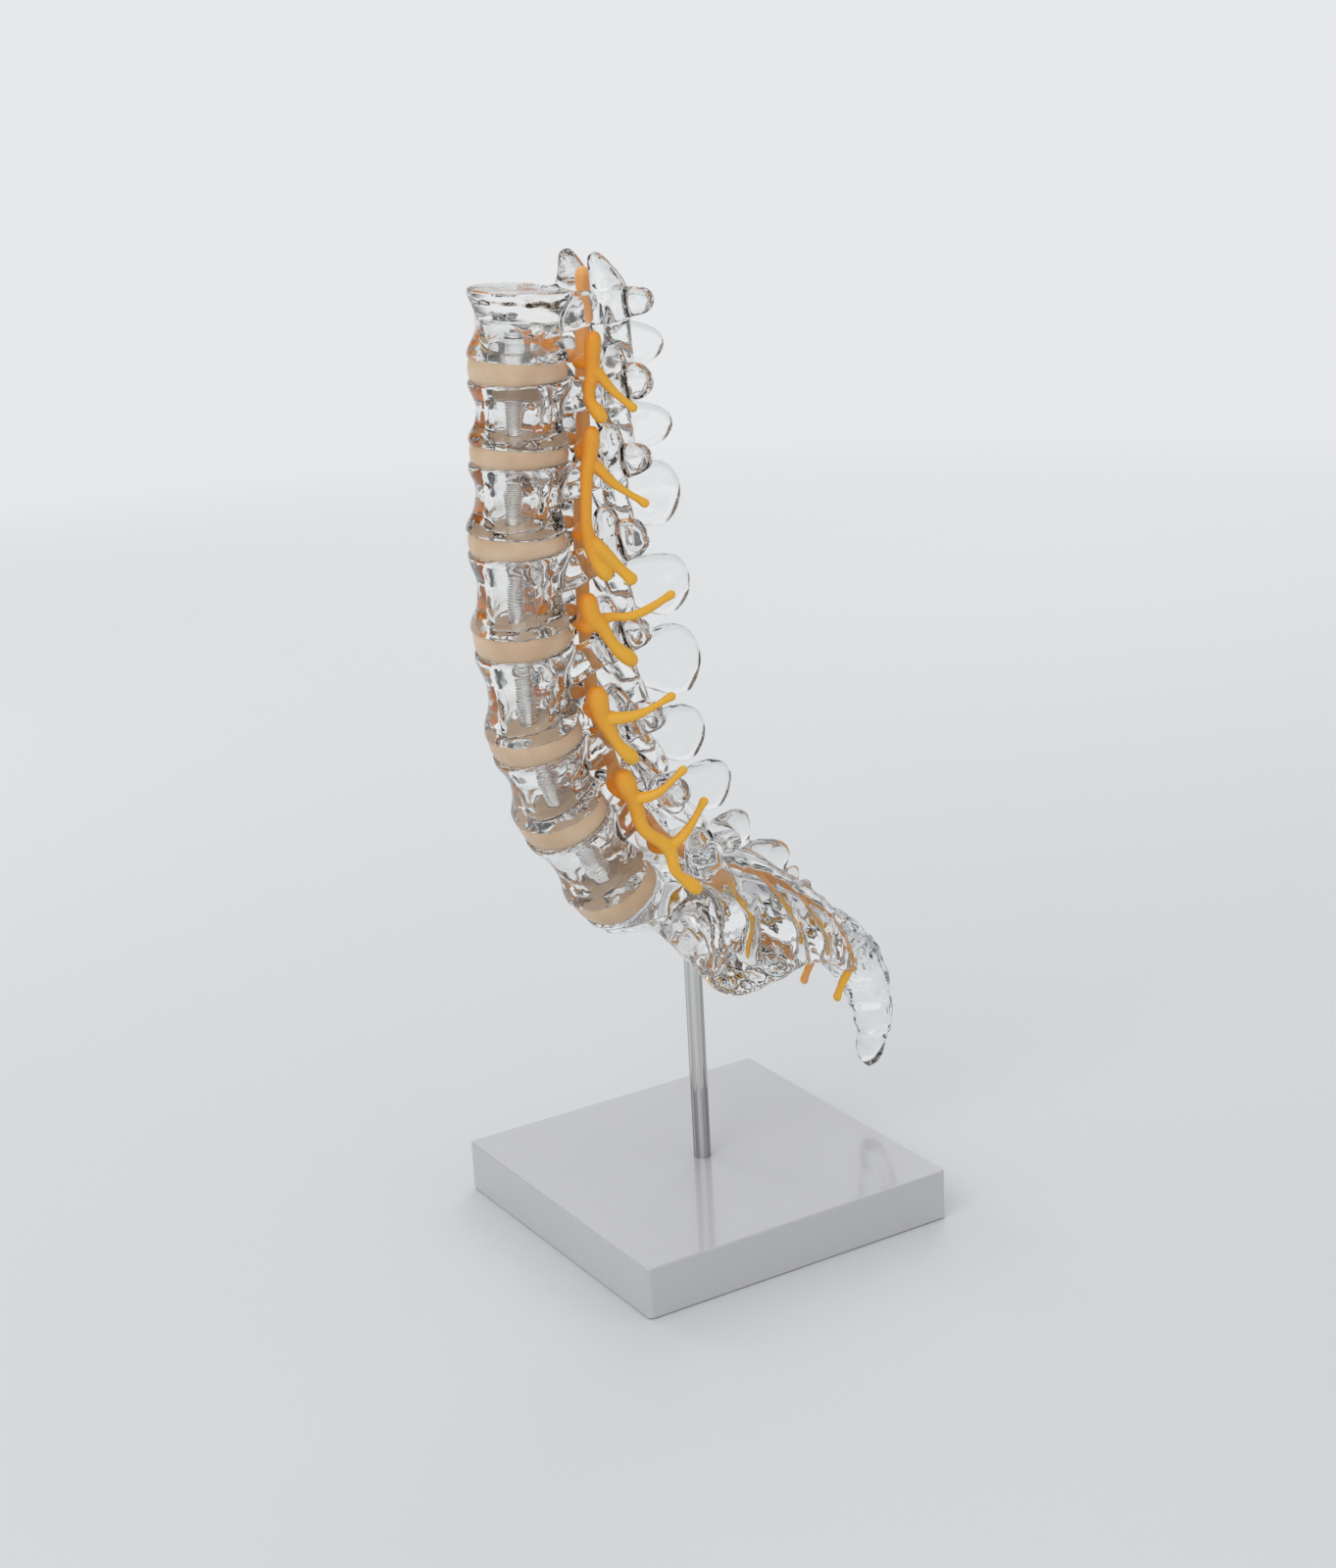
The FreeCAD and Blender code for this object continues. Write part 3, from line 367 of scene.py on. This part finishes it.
def drawn_in(piece, stubs):
    """Shortens two sacral branches to end where they leave the bone, and lets the last hang steeper.

    Past a stub's place, along its way, the given share of the length stays. The sway is how
    far back the end moves at the stub's full length.
    """
    mesh = piece.data
    places = np.empty(len(mesh.vertices) * 3, np.float32)
    mesh.vertices.foreach_get("co", places)
    places = places.reshape(-1, 3)
    for stub in stubs:
        offset = places - np.array((0.0, stub.back, stub.up), np.float32)
        run = offset[:, 1] * stub.way_back + offset[:, 2] * stub.way_up
        beside = np.hypot(np.abs(places[:, 0]) - stub.side,
                          offset[:, 1] * stub.way_up - offset[:, 2] * stub.way_back)
        run = np.where(beside < STUB_REACH, np.maximum(run, 0.0), 0.0)
        pull = (stub.share_kept - 1.0) * run
        places[:, 1] += pull * stub.way_back + stub.sway * run / STUB_LENGTH
        places[:, 2] += pull * stub.way_up
    mesh.vertices.foreach_set("co", places.ravel())
    mesh.update()


def dressed(piece, finish, node):
    """Gives a piece its finish and puts it in its node's place."""
    piece.data.materials.clear()
    piece.data.materials.append(finish.material)
    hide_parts(node)
    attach(piece, "root")


def refinished(node, finish):
    """Gives a node that keeps its own mesh a new finish."""
    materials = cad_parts[node].data.materials
    materials.clear()
    materials.append(finish.material)


# Settings

class CastingSettings(bpy.types.PropertyGroup):
    """Colours, mesh sizes and ripples of the clear castings"""

    tint: bpy.props.FloatVectorProperty(
        name="Resin Tint", description="Colour of the clear resin", subtype="COLOR",
        size=4, min=0.0, max=1.0, default=(0.985, 0.99, 0.985, 1.0))
    # Painted shade: the dark colour the resin takes on its rims, where it is seen at a slant
    painted_rim_shade: bpy.props.FloatVectorProperty(
        name="Resin Painted Rim Shade", description="Colour of the resin seen at a slant", subtype="COLOR",
        size=4, min=0.0, max=1.0, default=(0.45, 0.46, 0.48, 1.0))
    shade: bpy.props.FloatVectorProperty(
        name="Resin Shadow", description="Share of a lamp's light that each wall lets through",
        subtype="COLOR", size=4, min=0.0, max=1.0, default=(0.93, 0.93, 0.93, 1.0))
    grid: bpy.props.FloatProperty(
        name="Casting Grid", description="Mesh size of a vertebra", unit="LENGTH",
        default=0.0008, precision=5)
    sacrum_grid: bpy.props.FloatProperty(
        name="Sacrum Grid", description="Mesh size of the sacrum", unit="LENGTH",
        default=0.001, precision=5)
    ripple: bpy.props.FloatProperty(
        name="Ripple Height", description="How far the cast surface waves", unit="LENGTH",
        default=0.00028, precision=5)
    sacrum_ripple: bpy.props.FloatProperty(
        name="Sacrum Ripple", description="How far the sacrum's surface waves", unit="LENGTH",
        default=0.0006, precision=5)
    tail_ripple: bpy.props.FloatProperty(
        name="Tail Ripple", description="How much more the tail bone waves", unit="LENGTH",
        default=0.0014, precision=5)
    ripple_length: bpy.props.FloatProperty(
        name="Ripple Length", description="Distance between waves", unit="LENGTH",
        default=0.0075, precision=5)
    sacrum_ripple_length: bpy.props.FloatProperty(
        name="Sacrum Ripple Length", description="Distance between waves on the sacrum", unit="LENGTH",
        default=0.0105, precision=5)


class DiscSettings(bpy.types.PropertyGroup):
    """Colours of the discs"""

    colour: bpy.props.FloatVectorProperty(
        name="Disc Colour", description="Beige of the discs", subtype="COLOR",
        size=4, min=0.0, max=1.0, default=(0.61, 0.43, 0.28, 1.0))
    pale: bpy.props.FloatVectorProperty(
        name="Disc Pale Colour", description="Beige where the plastic is thinner", subtype="COLOR",
        size=4, min=0.0, max=1.0, default=(0.72, 0.56, 0.40, 1.0))


class NerveSettings(bpy.types.PropertyGroup):
    """Colours and mesh size of the cord and the nerves"""

    cord: bpy.props.FloatVectorProperty(
        name="Cord Colour", description="Orange of the cord and the roots beside it", subtype="COLOR",
        size=4, min=0.0, max=1.0, default=(0.92, 0.46, 0.16, 1.0))
    trunk: bpy.props.FloatVectorProperty(
        name="Trunk Colour", description="Deeper orange of the outer nerve", subtype="COLOR",
        size=4, min=0.0, max=1.0, default=(0.79, 0.26, 0.015, 1.0))
    tip: bpy.props.FloatVectorProperty(
        name="Tip Colour", description="Yellow orange of the branches", subtype="COLOR",
        size=4, min=0.0, max=1.0, default=(0.86, 0.465, 0.045, 1.0))
    grid: bpy.props.FloatProperty(
        name="Nerve Grid", description="Mesh size of a nerve", unit="LENGTH",
        default=0.00045, precision=5)


class RodSettings(bpy.types.PropertyGroup):
    """Sizes of the rod's thread"""

    crest: bpy.props.FloatProperty(
        name="Crest Radius", description="Radius over the thread", unit="LENGTH",
        default=0.0032, precision=5)
    depth: bpy.props.FloatProperty(
        name="Thread Depth", description="Crest to root of the thread", unit="LENGTH",
        default=0.0005, precision=5)
    pitch: bpy.props.FloatProperty(
        name="Thread Pitch", description="Distance from crest to crest", unit="LENGTH",
        default=0.00125, precision=5)


class StandSettings(bpy.types.PropertyGroup):
    """Colours of the base and the post"""

    colour: bpy.props.FloatVectorProperty(
        name="Base Colour", description="Pale grey of the base", subtype="COLOR",
        size=4, min=0.0, max=1.0, default=(0.55, 0.55, 0.575, 1.0))
    steel: bpy.props.FloatVectorProperty(
        name="Steel Colour", description="Colour of the bright post", subtype="COLOR",
        size=4, min=0.0, max=1.0, default=(0.74, 0.73, 0.72, 1.0))


class StudioSettings(bpy.types.PropertyGroup):
    """Floor, light and camera"""

    floor: bpy.props.FloatVectorProperty(
        name="Floor Colour", description="Colour of the studio floor", subtype="COLOR",
        size=4, min=0.0, max=1.0, default=(0.70, 0.71, 0.72, 1.0))
    azimuth: bpy.props.FloatProperty(
        name="Camera Azimuth", description="Camera angle round the model", subtype="ANGLE",
        default=math.radians(59.15))
    elevation: bpy.props.FloatProperty(
        name="Camera Elevation", description="Camera angle above the floor", subtype="ANGLE",
        default=math.radians(17.753))
    roll: bpy.props.FloatProperty(
        name="Camera Roll", description="Turn of the picture", subtype="ANGLE",
        default=math.radians(-3.02))
    place: bpy.props.FloatVectorProperty(
        name="Camera Place", description="Where the camera stands", subtype="TRANSLATION",
        default=(0.840202, -0.508703, 0.488337))
    lens: bpy.props.FloatProperty(
        name="Lens", description="Focal length in millimetres", default=63.0)
    lamp_power: bpy.props.FloatProperty(
        name="Lamp Power", description="Power of the main lamp in watts", default=6.5)
    sky: bpy.props.FloatProperty(
        name="Sky Strength", description="Light from all round", default=1.02)
    backdrop: bpy.props.FloatProperty(
        name="Backdrop Strength", description="How bright the far floor and the sky look", default=1.14)


# Finishes

def resin_finish(settings, name, grain, strength):
    """Clear resin whose colour darkens where the eye meets it at a slant: painted shade on its rims,
    standing in for dark reflections.

    Lamps shine through it, so that the cord and the rod inside are lit.
    """
    finish = Finish(name, Transmission_Weight=1.0, IOR=1.49, Roughness=0.0)
    # Painted shade: the colour goes from the tint to the dark rim colour as the surface turns to a slant
    slant = finish.number(finish.add("ShaderNodeLayerWeight", Blend=0.5), "Facing")
    finish.colour(finish.blend(slant.between(*RESIN_RIM_SHADE_SLANT), tuple(settings.tint), tuple(settings.painted_rim_shade)))
    finish.raised(finish.grain(grain, detail=3.0, roughness=0.55), distance=0.0009, strength=strength)
    path = finish.add("ShaderNodeLightPath")
    lit_through = finish.add("ShaderNodeBsdfTransparent", Color=tuple(settings.shade))
    finish.mixed_with(lit_through, finish.number(path, "Is Shadow Ray"))
    return finish


def disc_finish(settings):
    """Translucent beige plastic, cloudy and slightly uneven."""
    finish = Finish("disc_beige_plastic", Subsurface_Weight=0.6, Subsurface_Scale=0.004,
                    Subsurface_Radius=(1.0, 0.7, 0.45), Coat_Roughness=0.2, IOR=1.46)
    cloud = finish.grain(70.0, detail=3.0)
    finish.colour(finish.blend(cloud.between(*DISC_CLOUD), tuple(settings.colour), tuple(settings.pale)))
    finish.rough(0.3 + 0.12 * finish.grain(260.0, detail=4.0))
    finish.raised(finish.grain(900.0, detail=2.0), distance=0.00012, strength=0.3)
    return finish


def soft_finish(name):
    """Soft rubber with a slightly uneven skin."""
    finish = Finish(name, Subsurface_Weight=0.35, Subsurface_Scale=0.0025,
                    Subsurface_Radius=(1.0, 0.5, 0.2), IOR=1.45)
    finish.rough(0.32 + 0.16 * finish.grain(500.0, detail=3.0))
    finish.raised(finish.grain(800.0, detail=3.0), distance=0.0002, strength=0.4)
    return finish


def cord_finish(settings):
    """The cord, peach along its trunk and yellow orange where its branches hang out."""
    finish = soft_finish("cord_orange_rubber")
    out = finish.axes()[0].size()
    finish.colour(finish.blend(out.between(*CORD_TO_STUB), tuple(settings.cord), tuple(settings.tip)))
    return finish


def nerve_finish(settings):
    """A nerve root, deeper orange on its thick part and yellow orange on its branches."""
    finish = soft_finish("nerve_orange_rubber")
    out = finish.axes()[0].size()
    tone = 0.1 * (finish.grain(140.0, detail=2.0) - 0.5)
    inner = finish.blend(out.between(*ROOT_TO_TRUNK), tuple(settings.cord), tuple(settings.trunk))
    ends = (out.between(*TRUNK_TO_TIP) + tone).clamped()
    finish.colour(finish.blend(ends, inner, tuple(settings.tip)))
    return finish


def steel_finish(name, colour, rough, lines, strength, way=(1.0, 1.0, 22.0), dark=0.85):
    """Metal with fine lines, round its upright axis unless another way is given.

    The way stretches the pattern, and dark is the share of the colour left in the lines; with a low
    share, as on the post, the lines are partly drawn marks and partly painted dark reflection bands.
    """
    finish = Finish(name, Metallic=1.0)
    line_streaks = finish.grain(lines, detail=3.0, where=finish.stretched(way))
    darker = tuple(dark * channel for channel in colour[:3]) + (1.0,)
    finish.colour(finish.blend(line_streaks.between(*STEEL_LINES), darker, colour))
    finish.rough(rough + 0.5 * rough * line_streaks)
    finish.raised(line_streaks, distance=0.00003, strength=strength)
    return finish


def base_finish(settings):
    """Glossy pale plastic with a faint cloud in its colour."""
    finish = Finish("stand_base_plastic", Coat_Weight=0.7, Coat_Roughness=0.04, IOR=1.5)
    shade = finish.grain(9.0, detail=2.0)
    deeper = tuple(0.965 * channel for channel in settings.colour[:3]) + (1.0,)
    finish.colour(finish.blend(shade, deeper, tuple(settings.colour)))
    finish.rough(0.16 + 0.1 * finish.grain(55.0, detail=4.0))
    finish.raised(finish.grain(240.0, detail=2.0), distance=0.00005, strength=0.25)
    return finish


# Threaded rod

def thread_tree():
    """A ridged round bar along a curve, one helical ridge for each pitch."""
    group = bpy.data.node_groups.new("threaded_bar", "GeometryNodeTree")
    tree = Tree(group)
    face = group.interface
    face.new_socket("Geometry", in_out="INPUT", socket_type="NodeSocketGeometry")
    for name in ("Crest Radius", "Thread Depth", "Thread Pitch"):
        face.new_socket(name, in_out="INPUT", socket_type="NodeSocketFloat")
    face.new_socket("Finish", in_out="INPUT", socket_type="NodeSocketMaterial")
    face.new_socket("Geometry", in_out="OUTPUT", socket_type="NodeSocketGeometry")
    given = tree.add("NodeGroupInput")
    pitch = tree.number(given, "Thread Pitch")
    crest = tree.number(given, "Crest Radius")
    depth = tree.number(given, "Thread Depth")
    line = tree.add("GeometryNodeResampleCurve", {"mode": "LENGTH"},
                    Curve=tree.out(given, "Geometry"), Length=pitch / THREAD_STEPS)
    along = tree.add("GeometryNodeCaptureAttribute", {"domain": "POINT"}, Geometry=tree.out(line))
    along.capture_items.new("FLOAT", "Run")
    tree.feed(along, "Run", tree.out(tree.add("GeometryNodeSplineParameter"), "Length"))
    circle = tree.add("GeometryNodeCurvePrimitiveCircle", {"mode": "RADIUS"},
                      Resolution=THREAD_SIDES, Radius=crest - depth)
    around = tree.add("GeometryNodeCaptureAttribute", {"domain": "POINT"}, Geometry=tree.out(circle))
    around.capture_items.new("FLOAT", "Turn")
    tree.feed(around, "Turn", tree.out(tree.add("GeometryNodeSplineParameter"), "Factor"))
    bar = tree.add("GeometryNodeCurveToMesh", Curve=tree.out(along, "Geometry"),
                   Profile_Curve=tree.out(around, "Geometry"), Fill_Caps=True)
    turns = tree.number(along, "Run") / pitch + tree.number(around, "Turn")
    ridge = (turns * (2.0 * math.pi)).wave() * 0.5 + 0.5
    push = tree.add("ShaderNodeVectorMath", {"operation": "SCALE"},
                    Vector=tree.out(tree.add("GeometryNodeInputNormal"), "Normal"), Scale=ridge * depth)
    moved = tree.add("GeometryNodeSetPosition", Geometry=tree.out(bar), Offset=tree.out(push))
    smooth = tree.add("GeometryNodeSetShadeSmooth", Geometry=tree.out(moved))
    real = tree.add("GeometryNodeRealizeInstances", Geometry=tree.out(smooth))
    coloured = tree.add("GeometryNodeSetMaterial", Geometry=tree.out(real),
                        Material=tree.out(given, "Finish"))
    tree.add("NodeGroupOutput", Geometry=tree.out(coloured))
    return group


def rod_curve():
    """The line that the threaded bar follows."""
    curve = bpy.data.curves.new("rod_line", "CURVE")
    curve.dimensions = "3D"
    curve.resolution_u = 24
    spline = curve.splines.new("NURBS")
    spline.points.add(len(ROD_ROUTE) - 1)
    for point, (back, up) in zip(spline.points, ROD_ROUTE):
        point.co = (0.0, back, up, 1.0)
    spline.order_u = 3
    spline.use_endpoint_u = True
    line = bpy.data.objects.new("rod_line", curve)
    bpy.context.scene.collection.objects.link(line)
    return line


# Operators

class SPINE_OT_castings(bpy.types.Operator):
    """Casts the vertebrae and the sacrum in clear resin"""

    bl_idname = "spine.castings"
    bl_label = "Cast Clear Bones"

    def execute(self, context):
        settings = context.scene.spine_castings
        smooth = resin_finish(settings, "clear_resin", grain=150.0, strength=0.16)
        lumpy = resin_finish(settings, "clear_resin_lumpy", grain=90.0, strength=0.14)
        for seed, node in enumerate(BONES + ["sacrum"], start=1):
            grid = settings.sacrum_grid if node == "sacrum" else settings.grid
            piece = moulded("clear_" + node, node, grid, BONE_ROUNDS)
            if node == "sacrum":
                rippled(piece, settings.sacrum_ripple, settings.sacrum_ripple_length, seed,
                        settings.tail_ripple, settings.ripple_length)
            else:
                rippled(piece, settings.ripple, settings.ripple_length, seed)
            dressed(piece, lumpy if node == "sacrum" else smooth, node)
        return {"FINISHED"}


class SPINE_OT_discs(bpy.types.Operator):
    """Gives the discs their translucent beige plastic"""

    bl_idname = "spine.discs"
    bl_label = "Finish Discs"

    def execute(self, context):
        finish = disc_finish(context.scene.spine_discs)
        for node in DISCS:
            refinished(node, finish)
        return {"FINISHED"}


class SPINE_OT_nerves(bpy.types.Operator):
    """Moulds the cord and the nerve roots in soft orange"""

    bl_idname = "spine.nerves"
    bl_label = "Mould Nerves"

    def execute(self, context):
        settings = context.scene.spine_nerves
        rubber = nerve_finish(settings)
        trunk = cord_finish(settings)
        for node in NERVES + ["spinal_cord"]:
            piece = moulded("moulded_" + node, node, settings.grid, NERVE_ROUNDS)
            if node == "spinal_cord":
                drawn_in(piece, HANGING_STUBS)
            dressed(piece, trunk if node == "spinal_cord" else rubber, node)
        return {"FINISHED"}


class SPINE_OT_rod(bpy.types.Operator):
    """Cuts the thread on the core rod and finishes its nut and washer"""

    bl_idname = "spine.rod"
    bl_label = "Thread Core Rod"

    def execute(self, context):
        settings = context.scene.spine_rod
        finish = steel_finish("rod_steel", ROD_STEEL, rough=0.16, lines=500.0, strength=0.2)
        line = rod_curve()
        tree = thread_tree()
        threads = line.modifiers.new("thread", "NODES")
        threads.node_group = tree
        values = {"Crest Radius": settings.crest, "Thread Depth": settings.depth,
                  "Thread Pitch": settings.pitch, "Finish": finish.material}
        for item in tree.interface.items_tree:
            if item.in_out == "INPUT" and item.name in values:
                threads[item.identifier] = values[item.name]
        deps = context.evaluated_depsgraph_get()
        mesh = bpy.data.meshes.new_from_object(line.evaluated_get(deps))
        bpy.data.objects.remove(line)
        if len(mesh.polygons) < THREAD_LEAST_FACES:
            raise RuntimeError("the rod came out without its thread")
        piece = bpy.data.objects.new("threaded_core_rod", mesh)
        context.scene.collection.objects.link(piece)
        dressed(piece, finish, "core_rod")
        plain = steel_finish("nut_steel", NUT_STEEL, rough=0.2, lines=300.0, strength=0.2)
        refinished("rod_nut", plain)
        refinished("rod_washer", plain)
        return {"FINISHED"}


class SPINE_OT_stand(bpy.types.Operator):
    """Finishes the base plate and the support post"""

    bl_idname = "spine.stand"
    bl_label = "Finish Stand"

    def execute(self, context):
        settings = context.scene.spine_stand
        refinished("base_plate", base_finish(settings))
        # Drawn lines and painted reflection: long upright streaks keep only 0.4 of the steel colour, as
        # dark reflection bands
        post = steel_finish("post_steel_painted_reflection", tuple(settings.steel), rough=0.05, lines=620.0, strength=0.12,
                            way=(1.0, 1.0, 0.004), dark=0.4)
        refinished("support_post", post)
        return {"FINISHED"}


class SPINE_OT_studio(bpy.types.Operator):
    """Lays the floor and sets the lamps, the sky and the camera"""

    bl_idname = "spine.studio"
    bl_label = "Set Studio"

    def execute(self, context):
        settings = context.scene.spine_studio
        self.lay_floor(context, settings)
        self.hang_lamps(context, settings)
        self.paint_sky(context, settings)
        self.stand_camera(context, settings)
        context.scene.view_settings.view_transform = "Standard"
        return {"FINISHED"}

    def lay_floor(self, context, settings):
        mesh = bpy.data.meshes.new("studio_floor")
        reach = FLOOR_REACH
        corners = [(-reach, -reach, 0), (reach, -reach, 0), (reach, reach, 0), (-reach, reach, 0)]
        mesh.from_pydata(corners, [], [(0, 1, 2, 3)])
        floor = bpy.data.objects.new("studio_floor", mesh)
        floor.location.z = -FLOOR_DROP
        context.scene.collection.objects.link(floor)
        finish = Finish("studio_paper", Base_Color=tuple(settings.floor), Roughness=0.6)
        finish.rough(0.55 + 0.1 * finish.grain(30.0))
        across, back = finish.axes()[:2]
        away = (across * across + back * back).between(*FLOOR_FADE)
        glow = finish.add("ShaderNodeEmission", Color=tuple(settings.floor), Strength=settings.backdrop)
        finish.mixed_with(glow, away * finish.seen_rays())
        mesh.materials.append(finish.material)

    def hang_lamps(self, context, settings):
        for name, place, width, share in LAMPS:
            light = bpy.data.lights.new(name, "AREA")
            light.shape = "RECTANGLE"
            light.size = width
            light.size_y = LAMP_STRETCH * width
            light.energy = settings.lamp_power * share
            lamp = bpy.data.objects.new(name, light)
            lamp.visible_transmission = False
            lamp.visible_glossy = name == "main_lamp"
            lamp.location = place
            aim = Vector(LAMP_AIM) - Vector(place)
            lamp.rotation_euler = aim.to_track_quat("-Z", "Y").to_euler()
            context.scene.collection.objects.link(lamp)

    def paint_sky(self, context, settings):
        world = bpy.data.worlds.new("studio_sky")
        world.use_nodes = True
        world.node_tree.nodes.clear()
        tree = Tree(world.node_tree)
        way = tree.add("ShaderNodeSeparateXYZ",
                       Vector=tree.out(tree.add("ShaderNodeTexCoord"), "Generated"))
        across = tree.number(way, "X")
        back = tree.number(way, "Y")
        up = tree.number(way, "Z")
        seen = tree.seen_rays()
        side = (across * STRIP_WAY[0] + back * STRIP_WAY[1]).size()
        strips = side.between(*STRIP_EDGE) * (1.0 - up.between(*STRIP_TOP)) * STRIP_DEPTH
        from_eye = tree.number(tree.add("ShaderNodeLightPath"), "Is Camera Ray")
        shown = settings.backdrop * (1.0 - strips * (1.0 - from_eye))
        strength = seen * shown + (1.0 - seen) * settings.sky
        light = tree.add("ShaderNodeBackground", Color=tuple(settings.floor), Strength=strength)
        tree.add("ShaderNodeOutputWorld", Surface=tree.out(light))
        context.scene.world = world

    def stand_camera(self, context, settings):
        data = bpy.data.cameras.new("studio_camera")
        data.sensor_width = SENSOR_WIDTH
        data.lens = settings.lens
        data.clip_start, data.clip_end = CAMERA_CLIP
        camera = bpy.data.objects.new("studio_camera", data)
        context.scene.collection.objects.link(camera)
        turn, rise, roll = settings.azimuth, settings.elevation, settings.roll
        right = Vector((math.cos(turn), math.sin(turn), 0.0))
        back = Vector((math.sin(turn) * math.cos(rise), -math.cos(turn) * math.cos(rise),
                       math.sin(rise)))
        up = back.cross(right)
        across = right * math.cos(roll) + up * math.sin(roll)
        over = up * math.cos(roll) - right * math.sin(roll)
        turned = Matrix((across, over, back)).transposed().to_4x4()
        camera.matrix_world = Matrix.Translation(settings.place) @ turned
        context.scene.camera = camera


class SPINE_PT_panel(bpy.types.Panel):
    """Lists the steps that dress the spine model"""

    bl_idname = "SPINE_PT_panel"
    bl_label = "Spine Model"
    bl_space_type = "VIEW_3D"
    bl_region_type = "UI"
    bl_category = "Spine Model"

    def draw(self, context):
        for operator, group in STEPS:
            box = self.layout.box()
            settings = getattr(context.scene, group)
            for name in settings.bl_rna.properties.keys():
                if name not in ("rna_type", "name"):
                    box.prop(settings, name)
            box.operator(operator.bl_idname)


STEPS = [
    (SPINE_OT_stand, "spine_stand"),
    (SPINE_OT_rod, "spine_rod"),
    (SPINE_OT_discs, "spine_discs"),
    (SPINE_OT_castings, "spine_castings"),
    (SPINE_OT_nerves, "spine_nerves"),
    (SPINE_OT_studio, "spine_studio"),
]

GROUPS = {
    "spine_stand": StandSettings,
    "spine_rod": RodSettings,
    "spine_discs": DiscSettings,
    "spine_castings": CastingSettings,
    "spine_nerves": NerveSettings,
    "spine_studio": StudioSettings,
}


def register():
    for name, group in GROUPS.items():
        bpy.utils.register_class(group)
        setattr(bpy.types.Scene, name, bpy.props.PointerProperty(type=group))
    for operator, _ in STEPS:
        bpy.utils.register_class(operator)
    bpy.utils.register_class(SPINE_PT_panel)


def unregister():
    bpy.utils.unregister_class(SPINE_PT_panel)
    for operator, _ in reversed(STEPS):
        bpy.utils.unregister_class(operator)
    for name, group in reversed(list(GROUPS.items())):
        delattr(bpy.types.Scene, name)
        bpy.utils.unregister_class(group)


def main():
    register()
    for operator, _ in STEPS:
        family, name = operator.bl_idname.split(".")
        getattr(getattr(bpy.ops, family), name)()


if __name__ == "__main__":
    main()
